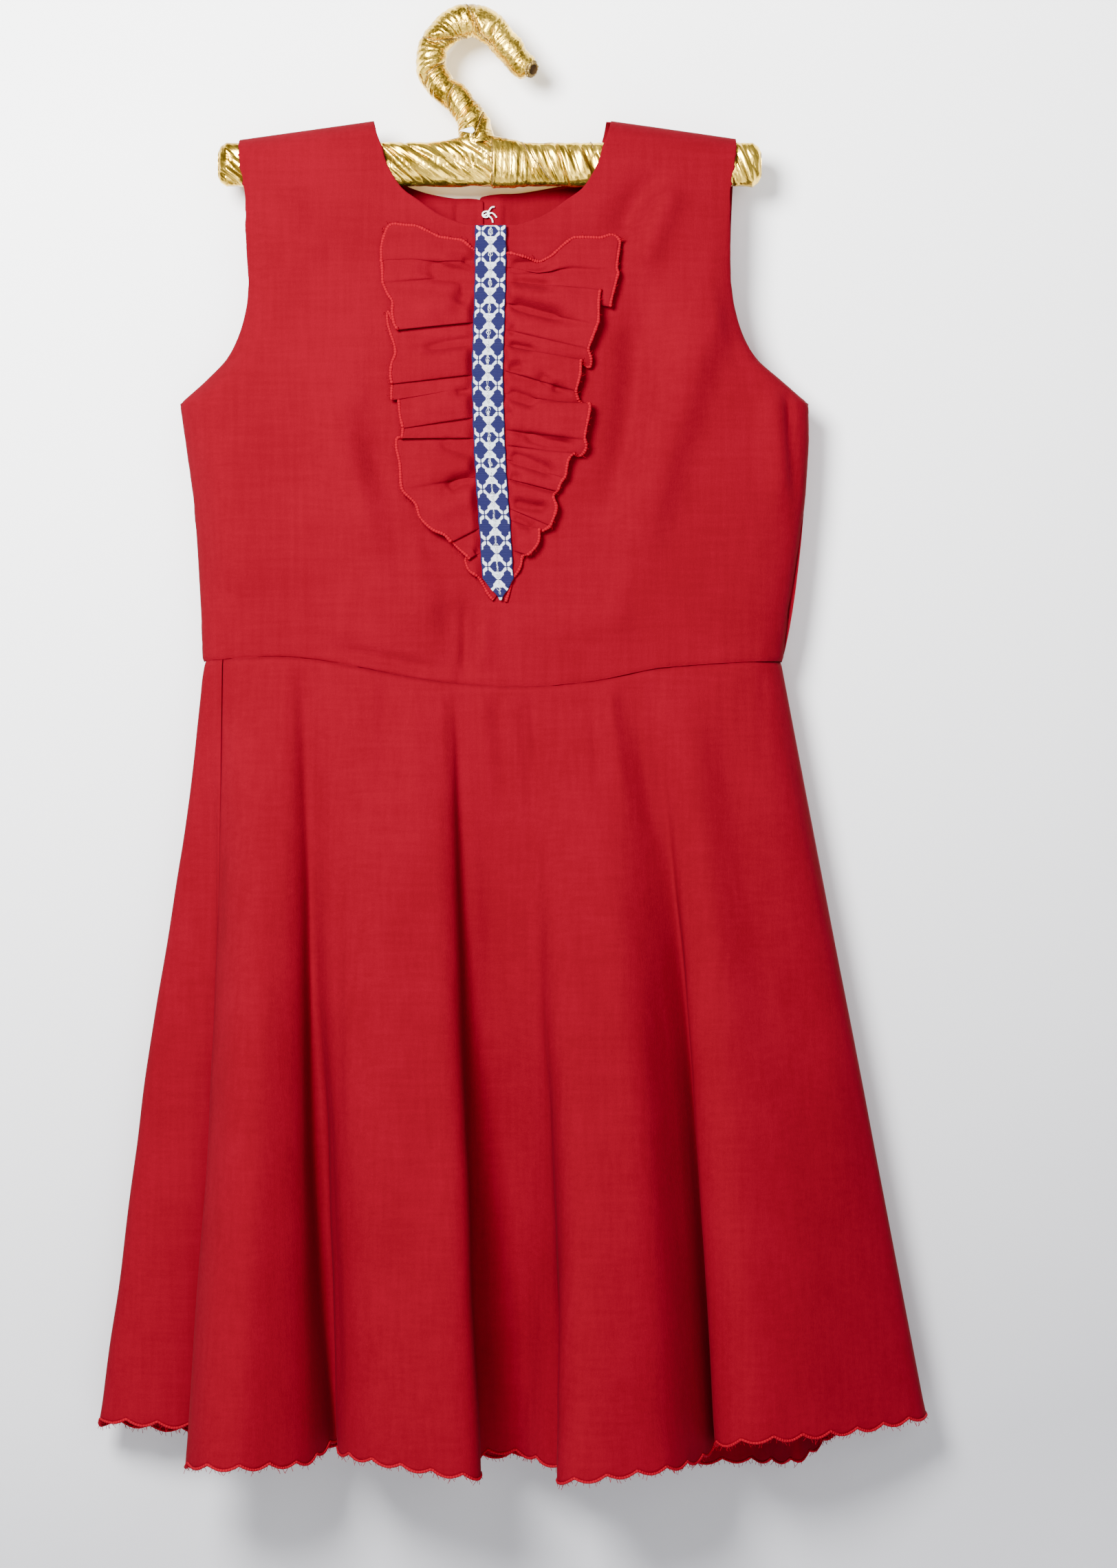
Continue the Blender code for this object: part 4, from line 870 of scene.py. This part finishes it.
def bodice_front_points(side):
    rows, places = bodice_rows(FRONT_ROWS)
    neck = np.where(places >= NECK_FOOT, 0.0, np.maximum(rows[:, 0], 0.0))
    face = bodice_panel(rows, side, FRONT, neck, rows[:, 1])
    away, low = bodice_fades(face)
    relief = (FRONT_STRENGTH * creases(face, BODICE_CREASES) + rolling(face, 5, 48.0, 2.6)) * away * low
    jabot = (1 - ramp(np.abs(face[..., 0] - 12.0), 48.0, 72.0)) * (1 - ramp(-face[..., 2], 285.0, 305.0))
    relief *= 1 - np.where(relief > 0.0, 1.0, 0.7) * jabot
    relief += seam_groove(face, FRONT) + puckers(face, 9, 9.0, 0.8) * away
    return lifted(face, outward(face, FRONT), relief)


def bodice_back_points(side):
    rows, places = bodice_rows(BACK_ROWS)
    first = 0 if side < 0 else 2
    inner_z = rows[:, first + 1]
    split = -SPLIT_X * side
    gap = mix(SEAM_GAP, SLIT_WIDTH, np.clip((inner_z - SLIT_FOOT) / (SLIT_TOP - SLIT_FOOT), 0.0, 1.0))
    inner = np.where(places >= SPLIT_ROW, split + gap / 2.0, np.maximum(rows[:, first], split))
    face = bodice_panel(rows, side, BACK, inner, inner_z)
    away, low = bodice_fades(face)
    relief = (BACK_STRENGTH * creases(face, BACK_CREASES) + rolling(face, 15, 55.0, 2.2)) * away * low
    relief -= 0.8 * bell(face[..., 0] - (DRESS_AXIS - SPLIT_X), 1.6) * low
    relief += seam_groove(face, BACK) + puckers(face, 19, 9.0, 0.8) * away
    points = lifted(face, outward(face, BACK), relief)
    if side > 0:
        points[:, 0, 0] -= UNDERLAP
        points[:, :2, 1] += 0.9
    return points


def build_bodice(red):
    halves = [(bodice_front_points(-1), False), (bodice_front_points(1), True)]
    front = make_object(grids_mesh("bodice_front_cloth", halves), red, ["bodice_front"], CLOTH)
    backs = []
    for side, word in ((-1, "left"), (1, "right")):
        mesh = grids_mesh(f"bodice_back_{word}_cloth", [(bodice_back_points(side), side > 0)])
        backs.append(make_object(mesh, red, [f"bodice_back_{word}"], CLOTH))
    return front, backs


# Skirt

def fold_lines(shares):
    """Points of every fold line at the shares of the skirt's length: folds, rows, axes."""
    table = np.array(FOLDS)
    waist_x = table[:, 0]
    level = np.full(len(table), WAIST_Z)
    waist_z = np.where(IS_FRONT, waist_line(waist_x, FRONT), waist_line(waist_x, BACK)) - WAIST_GAP
    depth = np.where(IS_FRONT, -bodice_depth(waist_x, level, FRONT), bodice_depth(waist_x, level, BACK))
    shares = np.asarray(shares, float)[None, :]
    across = (table[:, 1] - waist_x)[:, None] * shares ** table[:, 3:4]
    swell = (table[:, 2] - depth)[:, None] * shares ** table[:, 4:5]
    along = (SKIRT_LENGTH + table[:, 5:6]) * shares
    fall = np.sqrt(np.maximum(along ** 2 - across ** 2 - swell ** 2, 0.0))
    return np.stack((waist_x[:, None] + across, depth[:, None] + swell, waist_z[:, None] - fall), -1)


def skirt_face(places, shares):
    """The skirt's inner face: rows down the skirt, columns round the waist."""
    lines = fold_lines(shares)
    index = np.floor(places).astype(int)
    near = (lines[(index + step) % len(FOLDS)] for step in (-1, 0, 1, 2))
    return np.swapaxes(curve(*near, (places - index)[:, None, None]), 0, 1)


def eased(face, shares):
    """The folds eased near the waist: each row smoothed along its length, less so lower down."""
    reach = 12
    kernel = np.exp(-0.5 * (np.arange(-reach, reach + 1) / 5.0) ** 2)
    kernel /= kernel.sum()
    before = 2 * face[:, :1] - face[:, reach:0:-1]
    after = 2 * face[:, -1:] - face[:, -2:-reach - 2:-1]
    padded = np.concatenate((before, face, after), axis=1)
    soft = sum(weight * padded[:, index:index + face.shape[1]] for index, weight in enumerate(kernel))
    near_waist = (1.0 - ramp(shares, 0.08, 0.62))[:, None]
    return mix(face, soft, np.maximum(near_waist, np.minimum(creases(face, SOFT_FOLDS), 1.0))[..., None])


def skirt_rows():
    return np.concatenate((np.linspace(0.0, 0.10, 18, endpoint=False),
                           np.linspace(0.10, SCALLOP_BAND, 72, endpoint=False),
                           np.linspace(SCALLOP_BAND, 1.0, 7)))


def skirt_panel(start, end, is_front, seed):
    """Middle of the cloth of a skirt panel, its columns evenly spaced along the hem."""
    places = np.linspace(start, end, 60 * math.ceil(end - start))
    lengths = run_lengths(skirt_face(places, [1.0])[0])
    total = lengths[-1]
    scallops = round(total / SCALLOP_PITCH)
    along = np.linspace(0.0, total, scallops * COLUMNS_A_SCALLOP + 1)
    shares = skirt_rows()
    face = eased(skirt_face(np.interp(along, lengths, places), shares), shares)
    out = normals(face)
    out *= np.sign(np.mean(out[40, :, 1])) * (-1 if is_front else 1)
    relief = puckers(face, seed, 26.0, 1.3) + rolling(face, seed + 2, 42.0, 1.7)
    if is_front:
        relief += creases(face, SKIRT_CREASES) * ramp(-out[..., 1], 0.05, 0.4)
    ends = np.minimum(along, total - along)[None, :] * mix(0.25, 1.0, shares)[:, None]
    relief *= ramp(shares, 0.0, 0.03)[:, None] * ramp(ends, 0.0, 8.0)
    relief -= 0.7 * bell(ends, 1.2) + 0.5 * bell(shares[:, None], 0.003)
    points = lifted(face, out, relief)
    notch = SCALLOP_DEPTH * (1.0 - np.abs(np.sin(math.pi * along / total * scallops)))
    points[..., 2] += notch[None, :] * ramp(shares, SCALLOP_BAND, 1.0)[:, None]
    points[0, :, 2] += WAIST_GAP - 0.15
    for edge, inner in ((0, 1), (-1, -2)):
        way = points[:, inner] - points[:, edge]
        points[:, edge] += way / np.linalg.norm(way, axis=1, keepdims=True) * SIDE_GAP / 2.0
    return points


def hem_edging(edge, seed):
    """The stitched edge along the last row of a panel, and its loose threads."""
    chance = random.Random(seed)
    lengths = run_lengths(edge)
    route = read_along(edge, lengths, np.arange(0.6, lengths[-1] - 0.6, 0.9))
    route[:, 2] += 0.25
    tubes = [tube_grid(route, uneven(chance, len(route), HEM_EDGE, 0.12), 8, 0.8, (0.0, 0.0, 1.0))]
    threads = []
    place = 2.0
    while place < lengths[-1] - 2.0:
        shift, length, lean, bend, push = drawn(chance, (-0.5, 0.5), (0.7, 2.8), (-0.7, 0.7), (-0.6, 0.6),
                                                (-0.25, 0.25))
        start = read_along(edge, lengths, place) + (0.0, shift, -0.4)
        way = length * np.array((lean, push, -1.0))
        threads.append(hair(start, way, np.array((bend, 0.0, 0.0)), 4, HEM_THREAD))
        place += chance.uniform(0.7, 3.4)
    return tubes, threads


def build_skirt(red, stitch):
    panels = []
    for name, start, end, is_front, seed in (
            ("skirt_front", LEFT_SEAM, RIGHT_SEAM, True, 31),
            ("skirt_back", RIGHT_SEAM, len(FOLDS) + LEFT_SEAM, False, 47)):
        points = skirt_panel(start, end, is_front, seed)
        cloth = make_object(grids_mesh(name + "_cloth", [(points, True)]), red, [name], CLOTH)
        tubes, threads = hem_edging(points[-1], seed)
        edging = tubes_object(name + "_edging", tubes, stitch)
        loose = tubes_object(name + "_threads", threads, stitch)
        panels.append((cloth, edging, loose))
    return panels


# Jabot

def ribbon_x(z):
    return read_smooth(RIBBON_LINE, z, 1)


def drawn_in(table):
    """A frill's rows with the drop under each fold made steeper."""
    rows = table.copy()
    for index in range(1, len(rows)):
        if rows[index, 3] < rows[index - 1, 3] - 0.9:
            rows[index - 1, :3] = mix(table[index - 1, :3], table[index, :3], 0.55)
    return rows


def frill_points(table, side, top_dip):
    """Middle of a frill's cloth: rows down the ribbon, columns out to the free edge."""
    places = np.linspace(0, len(table) - 1, (len(table) - 1) * 8 + 1)
    leave, end_right, end_down, half_height, end_height = smooth_rows(drawn_in(table), places).T
    share = np.concatenate((np.linspace(0.0, 0.3, 16, endpoint=False), np.linspace(0.3, 1.0, 30)))
    edge_x, edge_z = behind(end_right, end_down, FRILL_SURFACE - end_height)
    edge_x += 1.3 * (lattice_noise(places * 0.75, np.full(len(places), 2.5), 77 + side) - 0.5)
    edge_z += 0.8 * (lattice_noise(places * 0.75, np.full(len(places), 9.5), 87 + side) - 0.5)
    inner_z = behind(np.full(len(leave), VIEW_LEFT), leave, FRILL_SURFACE)[1]
    inner_z = np.clip(inner_z, RIBBON_LINE[-1, 0] + 3.0, RIBBON_LINE[0, 0] - 6.0)
    inner_x = ribbon_x(inner_z) + side * FRILL_INNER
    x = mix(inner_x[:, None], edge_x[:, None], share)
    z = mix(inner_z[:, None], edge_z[:, None], share)
    dip = np.interp(share, *np.transpose(top_dip)) * STEP
    z -= (1.0 - ramp(places, 0.0, 4.0))[:, None] * dip
    free = ramp(np.abs(x - ribbon_x(z)) - RIBBON_WIDTH / 2.0 - 0.4, -1.2, 3.6)
    reach = np.clip((share - 0.3) / 0.7, 0.0, 1.0)
    height = mix(half_height[:, None], end_height[:, None], reach ** 1.3) * (1.2 if side > 0 else 1.0)
    base = -bodice_depth(x, np.minimum(z, -100.0), FRONT) - FRILL_BASE
    points = np.stack((x, base - free * height, z), axis=-1)
    folds = FRILL_STRENGTH * creases(points, FRILL_CREASES) * (1.0 - ramp(share, 0.75, 1.0))
    points[..., 1] -= free * (folds + rolling(points, 63 + side, 15.0, 0.9))
    points[..., 1] = np.minimum(points[..., 1], base)
    return points


def frill_edging(points, side):
    """The stitched edge along the top and the outer side of a frill, and its threads."""
    chance = random.Random(70 + side)
    top = points[0, np.abs(points[0, :, 0] - 9.0) > 8.0]
    path = np.concatenate((top[:-1], points[:, -1]))
    lengths = run_lengths(path)
    route = read_along(path, lengths, np.arange(0.0, lengths[-1], 0.7))
    for _ in range(2):
        route[1:-1] = 0.25 * route[:-2] + 0.5 * route[1:-1] + 0.25 * route[2:]
    tubes = [tube_grid(route, uneven(chance, len(route), FRILL_EDGE, 0.3))]
    centre = points[:, 0].mean(axis=0)
    place = 3.0
    while place < lengths[-1] - 3.0:
        start = read_along(path, lengths, place)
        way = (start - centre) * (1.0, 0.0, 1.0)
        way /= np.linalg.norm(way)
        length = chance.uniform(0.6, 1.9)
        bend = length * drawn(chance, (-0.6, 0.6), (-0.3, 0.3), (-0.6, 0.6))
        tubes.append(hair(start + way * 0.4, length * way, bend, 4, FRILL_THREAD))
        place += chance.uniform(0.8, 4.6)
    for _ in range(CORNER_THREADS):
        way = drawn(chance, (-0.2, 1.0), (-0.4, 0.2), (-0.5, 1.0)) * (side, 1, 1)
        tubes.append(hair(points[0, -1], way * chance.uniform(1.0, 2.6), 0.0, 4, CORNER_THREAD))
    return tubes


def ribbon_points():
    """Middle of the ribbon's weave, and its UV across and along at each point."""
    top = RIBBON_LINE[0, 0]
    foot = RIBBON_LINE[-1, 0]
    shoulder = foot + RIBBON_POINT
    half = RIBBON_WIDTH / 2.0
    z = np.concatenate((np.linspace(top, shoulder, 150), np.linspace(shoulder, foot, 16)[1:]))[:, None]
    half = np.where(z > shoulder, half, np.maximum(half * (z - foot) / RIBBON_POINT, 0.25))
    half = half + 0.12 * np.sin(z * 0.9) + 0.12 * np.sin(z * 0.37)
    across = np.linspace(-1.0, 1.0, 25)[None, :]
    x = ribbon_x(z) + half * across
    flat_z = np.broadcast_to(z, x.shape)
    lift = RIBBON_LIFT + 0.28 * np.sin(z * math.tau / 9.4) * across ** 2
    lift = lift + 0.25 * (1.0 - across ** 2) * np.sin(z * math.tau / 13.0 + 1.0)
    coords = np.stack((half * across / 100.0, (top - flat_z) / 100.0), axis=-1)
    return np.stack((x, -bodice_depth(x, flat_z, FRONT) - lift, flat_z), axis=-1), coords.reshape(-1, 2)


def ribbon_stitches():
    """Clear filament sewn down the ribbon's centre, with a small knot of loops in each step."""
    chance = random.Random(8)
    top = RIBBON_LINE[0, 0] - 0.5
    foot = RIBBON_LINE[-1, 0] + 2.0

    def strand(x, z, lift, radius):
        y = -bodice_depth(x, z, FRONT) - RIBBON_LIFT - lift
        return tube_grid(np.stack((x, y, z), 1), radius, 5)

    tubes = []
    for shift in (-0.45, 0.35):
        z = np.arange(top, foot, -0.8)
        x = ribbon_x(z) + shift * 0.6 + drawn(chance, *[(-0.22, 0.22)] * len(z))
        tubes.append(strand(x, z, 0.62 + 0.22 * np.sin(z * math.tau / 3.3 + shift * 9), 0.10))
    angle = np.linspace(0.4, math.tau, 14)
    place = top - 2.2
    while place > foot + 2.0:
        for _ in range(2):
            shift, wide, tall, tilt = drawn(chance, (-1.5, 1.5), (0.5, 1.25), (0.8, 1.7), (-0.6, 0.6))
            centre = place + shift
            u = wide * np.cos(angle)
            v = tall * np.sin(angle)
            x = ribbon_x(centre) + u * math.cos(tilt) - v * math.sin(tilt)
            z = centre + u * math.sin(tilt) + v * math.cos(tilt)
            tubes.append(strand(x, z, 0.75 + 0.15 * np.sin(2 * angle), 0.09))
        place -= chance.uniform(6.0, 7.4)
    return tubes


def build_jabot(red, stitch, woven, filament):
    frills = []
    for table, side, dip, word in ((LEFT_FRILL, -1, LEFT_TOP, "left"), (RIGHT_FRILL, 1, RIGHT_TOP, "right")):
        points = frill_points(table, side, dip)
        mesh = grids_mesh(f"ruffle_{word}_cloth", [(points, side > 0)])
        cloth = make_object(mesh, red, [f"ruffle_{word}"], FRILL_CLOTH)
        edging = tubes_object(f"ruffle_{word}_edging", frill_edging(points, side), stitch)
        frills.append((cloth, edging))
    points, coords = ribbon_points()
    mesh = grids_mesh("ribbon_weave", [(points, True)], coords)
    ribbon = make_object(mesh, woven, ["ribbon_trim"], CLOTH)
    stitches = tubes_object("ribbon_stitches", ribbon_stitches(), filament)
    return frills, ribbon, stitches


# Hanger

def pleats(across, along, seed, size):
    """Puffy creases running along a direction, sharp in the valleys, from -0.6 to 0.6."""
    warp = 0.7 * lattice_noise(along / 30.0 + 9.0, across / 16.0 + 3.0, seed + 5)
    first = lattice_noise(across / size + warp + 30.0, along / 46.0 + 20.0, seed)
    second = lattice_noise(across / (0.42 * size) + 2.0 * warp + 30.0, along / 24.0 + 20.0, seed + 1)
    puff, fine = (np.abs(2.0 * noise - 1.0) ** 0.7 for noise in (first, second))
    return puff - 0.55 + 0.38 * (fine - 0.5)


def bar_points():
    """The wrapped bar's surface, from its left end to its right."""
    x = np.concatenate((np.linspace(BAR_LEFT, BAR_LEFT + BAR_END, 6, endpoint=False),
                        np.linspace(BAR_LEFT + BAR_END, BAR_RIGHT - BAR_END, 640, endpoint=False),
                        np.linspace(BAR_RIGHT - BAR_END, BAR_RIGHT, 7)))[:, None]
    hump, shrink = (np.interp(x, BAR_SECTIONS[:, 0], BAR_SECTIONS[:, column]) for column in (1, 2))
    angle = turns(96)[None, :]
    top = BAR_TOP + hump * BAR_HUMP - shrink
    bottom = BAR_BOTTOM + shrink
    middle_z = (top + bottom) / 2.0
    wide, tall = (np.sign(wave) * np.abs(wave) ** BAR_CORNER for wave in (np.cos(angle), np.sin(angle)))
    y = (BAR_HALF_DEPTH - shrink) * wide
    z = middle_z + (top - bottom) / 2.0 * tall
    z += 2.2 * ramp(-np.sin(angle), 0.2, 1.0) * ramp(y, -4.0, BAR_HALF_DEPTH)
    x = np.broadcast_to(x, y.shape)
    arc = angle * BAR_ARC
    left = pleats(0.80 * z + 0.60 * x, 0.60 * z - 0.80 * x, 3, 4.6)
    middle = pleats(x + 0.06 * arc, arc, 8, 2.8)
    right = pleats(0.38 * z + 0.92 * x, 0.92 * z - 0.38 * x, 12, 4.2)
    to_middle = ramp(x, BAR_PARTING - 0.4, BAR_PARTING + 0.4)
    to_right = ramp(x + 0.3 * z, 4.0, 14.0)
    relief = mix(mix(2.8 * left, 1.6 * middle, to_middle), 2.4 * right, to_right)
    relief *= mix(1.0, 0.30, ramp(np.abs(np.sin(angle)), 0.55, 0.97))
    layer = 0.7 * to_middle * (1.0 - ramp(x, 20.0, 27.0))
    ends = np.clip(1.0 - shrink / BAR_END, 0.0, 1.0)
    out = np.stack((np.zeros(y.shape), y, z - middle_z), axis=-1)
    out /= np.maximum(np.linalg.norm(out, axis=-1, keepdims=True), 1e-9)
    return np.stack((x, y, z), axis=-1) + out * ((relief + 0.45 + layer) * ends)[..., None]


def hook_points():
    """The wrapped hook's surface, drawn in to a small opening at the tip."""
    rows = smooth_rows(HOOK_LINE, np.linspace(0, len(HOOK_LINE) - 1, 430))
    route = rows[:, :2] @ np.array(((1.0, 0.0, 0.0), (0.0, 0.0, 1.0)))
    rings = tube_grid(route, rows[:, 2], HOOK_SIDES)
    lengths = run_lengths(route)
    angle = turns(HOOK_SIDES)[None, :]
    tilted = lengths[:, None] + 2.6 * np.sin(angle + 0.6)
    still = np.zeros(tilted.shape)
    puffs = lattice_noise(tilted / 6.5 + 11.0, 2.0 + np.cos(angle) * 0.8 + still, 21)
    ribs = lattice_noise(tilted / 0.9 + 3.0, 5.0 + np.cos(angle - 0.7) * 0.7 + still, 23)
    out = rings - route[:, None]
    length = np.linalg.norm(out, axis=-1)
    front = ramp(-out[..., 1] / length, -0.2, 0.3)
    relief = 1.8 * (puffs - 0.5) + 0.8 * (ribs - 0.5)
    relief += HOOK_STRENGTH * creases(rings, HOOK_CREASES) * front
    scale = np.sqrt(1.0 - ramp(lengths, lengths[-1] - 3.0, lengths[-1] + 1.0))[:, None]
    size = (length + relief + 0.05) * scale / np.maximum(length, 1e-9)
    return route[:, None] + out * size[..., None]


def frayed_line(route, seed, radius):
    """A frayed selvedge: a knobbly core with short hairs."""
    chance = random.Random(seed)
    lengths = run_lengths(route)
    path = read_along(route, lengths, np.arange(0.0, lengths[-1], 0.35))
    path += np.array([drawn(chance, *[(-0.16, 0.16)] * 3) for _ in path])
    tubes = [tube_grid(path, drawn(chance, *[(0.6, 1.25)] * len(path)) * radius, 6)]
    for _ in range(int(lengths[-1] * 1.3)):
        start = path[chance.randrange(len(path))]
        way = drawn(chance, (-1, 1), (-0.7, 0.1), (-1, 1))
        tubes.append(hair(start, way * chance.uniform(0.4, 1.1), 0.0, 3, FRAY_HAIR))
    return tubes


def frayed_edge(surface, route, count, seed, radius):
    """A frayed line on a surface's front, along a route in the front view."""
    front = surface.reshape(-1, 3)
    front = front[front[:, 1] < -2.0]
    view = seen(front)
    places = np.linspace(0.0, len(route) - 1.0, count)
    right, down = (np.interp(places, np.arange(len(route)), part) for part in np.transpose(route))
    found = []
    for place in view_mm(right, down):
        nearest = np.argsort(np.hypot(*(view - place).T))[:3]
        found.append(front[nearest].mean(axis=0) + (0.0, -0.25, 0.0))
    return frayed_line(np.array(found), seed, radius)


def core_patch():
    """The white core that shows at the hook's foot, as a small triangle."""
    steps = np.linspace(0.0, 1.0, 14)
    x = mix(-6.7, 0.9, steps)
    y = -1.1 - np.sqrt(np.maximum(80.0 - (x - 1.4) ** 2, 4.0))
    width = 0.2 + 1.9 * steps * (1.0 - ramp(steps, 0.86, 1.0))
    return tube_grid(np.stack((x, y, -48.2 - 0.6 * steps), axis=1), width, 12, 0.35)


def build_hanger(gold, creased, dark, white, painted_hole_shade):
    bar = bar_points()
    hook = hook_points()
    tubes_object("hanger_bar_wrap", [bar], creased, ["hanger_bar"])
    tubes_object("hanger_hook_wrap", [hook], gold, ["hanger_hook"])
    tubes = []
    for number, (route, count, radius) in enumerate(BAR_FRAYS):
        tubes += frayed_edge(bar, route, count, 4 + number, radius)
    for number, index in enumerate(FRAYED_CREASES):
        tubes += frayed_edge(hook, HOOK_CREASES[index][0], 16, 20 + number, 0.34)
    turn = np.linspace(0.0, math.tau, 25)[:, None]
    for number, (wide, thick, push) in enumerate(((3.1, 0.95, 0.0), (3.9, 0.8, -0.9))):
        ring = TIP_PLACE + push * TIP_WAY + wide * (np.cos(turn) * TIP_UP + np.sin(turn) * TIP_SIDE)
        tubes += frayed_line(ring, 30 + number, thick)
    tubes_object("hanger_frayed_edges", tubes, dark)
    tubes_object("hanger_core", [core_patch()], white)
    # painted shade: a dark brown plug fills the hook's open tip in place of the shadowed hollow inside
    hole = tube_grid(TIP_PLACE + np.array(((-1.5,), (1.0,))) * TIP_WAY, 2.5, 20)
    tubes_object("hanger_tip_painted_shade", [hole], painted_hole_shade)


def build_tie(white):
    """The thread tied at the neck."""
    knot_y = float(bodice_depth(np.array(KNOT_X), np.array(KNOT_Z), BACK)) - 1.3
    tubes = []
    for radius, points in TIE_STRANDS:
        route = smooth_rows(points, np.linspace(0, len(points) - 1, 22))[:, (0, 2, 1)]
        tubes.append(tube_grid(route + (KNOT_X, knot_y, KNOT_Z), radius))
    tubes_object("neck_thread", tubes, white, ["neck_tie"])


# Surroundings

def wall_paint():
    """Pale wall with painted shade, darker low down and to the right where less light falls; clear from
    behind.
    """
    wall, tree, shader = new_material("pale_wall", (0.93, 0.935, 0.945), 0.9)
    place = parts_of(tree, "TexCoord", "Object")
    # painted shade: the wall's colour darkens towards the bottom and towards the right
    height = calc(tree, "MULTIPLY_ADD", place["Z"], 1.25, 1.0)
    height = calc(tree, "MULTIPLY_ADD", place["X"], -0.35, height)
    paint(tree, shader, height, (0.36, 0.36, 0.38), (1.0, 1.0, 1.0), 0.0, 1.0)
    back = add_node(tree, "NewGeometry").outputs["Backfacing"]
    clear = add_node(tree, "BsdfTransparent").outputs[0]
    join = add_node(tree, "MixShader")
    for socket, output in zip(join.inputs, (back, shader.outputs[0], clear)):
        connect(tree, socket, output)
    connect(tree, tree.nodes["Material Output"].inputs["Surface"], join.outputs[0])
    return wall


def build_stage():
    def plane(name, corners, material):
        mesh = bpy.data.meshes.new(name)
        mesh.from_pydata(corners, [], [(0, 1, 2, 3)])
        mesh.materials.append(material)
        thing = put(name, mesh)
        return thing

    screen = plane("wall", [(-ROOM_SIDE, WALL_Y, FLOOR_Z), (ROOM_SIDE, WALL_Y, FLOOR_Z),
                            (ROOM_SIDE, WALL_Y, WALL_TOP), (-ROOM_SIDE, WALL_Y, WALL_TOP)], wall_paint())
    plane("floor", [(-ROOM_SIDE, ROOM_NEAR, FLOOR_Z), (ROOM_SIDE, ROOM_NEAR, FLOOR_Z),
                    (ROOM_SIDE, ROOM_FAR, FLOOR_Z), (-ROOM_SIDE, ROOM_FAR, FLOOR_Z)],
          plain("pale_floor", (0.80, 0.80, 0.82), 0.85, 40.0))
    screen.visible_shadow = False


def area_light(name, location, goal, size, power):
    """A round light aimed at a place."""
    lamp = bpy.data.lights.new(name, "AREA")
    lamp.shape = "DISK"
    lamp.size = size
    lamp.energy = power
    thing = put(name, lamp)
    thing.location = location
    way = np.array(goal) - np.array(location)
    thing.rotation_euler = (math.atan2(math.hypot(way[0], way[1]), -way[2]), 0.0,
                            math.atan2(way[1], way[0]) - math.pi / 2.0)


def build_lights():
    area_light("key", (-0.42, -1.05, 0.14), (0.0, 0.0, -0.24), 0.50, 65.0)
    area_light("fill", (0.9, -2.3, 0.2), (0.05, 0.0, -0.3), 1.6, 31.0)
    area_light("low", (0.1, -2.2, -0.95), (0.0, 0.0, -0.16), 1.0, 16.0)
    area_light("rear", (0.9, 1.7, 0.6), (0.0, 0.0, -0.35), 1.2, 80.0)
    world = bpy.data.worlds.new("soft_sky")
    bpy.context.scene.world = world
    world.use_nodes = True
    sky = world.node_tree.nodes["Background"]
    sky.inputs["Color"].default_value = (0.95, 0.97, 1.0, 1.0)
    sky.inputs["Strength"].default_value = 0.32


def build_camera():
    lens = bpy.data.cameras.new("front_view")
    lens.lens = 84.5
    lens.sensor_width = 36.0
    camera = put("front_view", lens)
    camera.location = (VIEW_X * MM, -VIEW_DISTANCE * MM, VIEW_Z * MM)
    camera.rotation_euler = (math.pi / 2.0, 0.0, 0.0)
    bpy.context.scene.camera = camera


def main():
    red = red_cloth()
    stitch = red_stitching()
    woven = ribbon_cloth()
    filament = plain("clear_filament", (0.62, 0.64, 0.68), 0.22, 900.0, Metallic=0.35)
    white = plain("white_thread", (0.86, 0.86, 0.84), 0.5)
    gold = gold_wrapping("gold_wrapping", False)
    creased = gold_wrapping("creased_gold", True)
    dark = plain("frayed_gold", (0.20, 0.13, 0.035), 0.35, 1500.0, Metallic=0.6)
    # dark brown for the hook's opening: painted shade
    painted_hole_shade = plain("painted_shade_brown", (0.035, 0.018, 0.006), 0.95, 900.0, Specular_IOR_Level=0.05)
    front, backs = build_bodice(red)
    panels = build_skirt(red, stitch)
    frills, ribbon, stitches = build_jabot(red, stitch, woven, filament)
    build_hanger(gold, creased, dark, white, painted_hole_shade)
    build_tie(white)
    build_stage()
    build_lights()
    build_camera()


main()
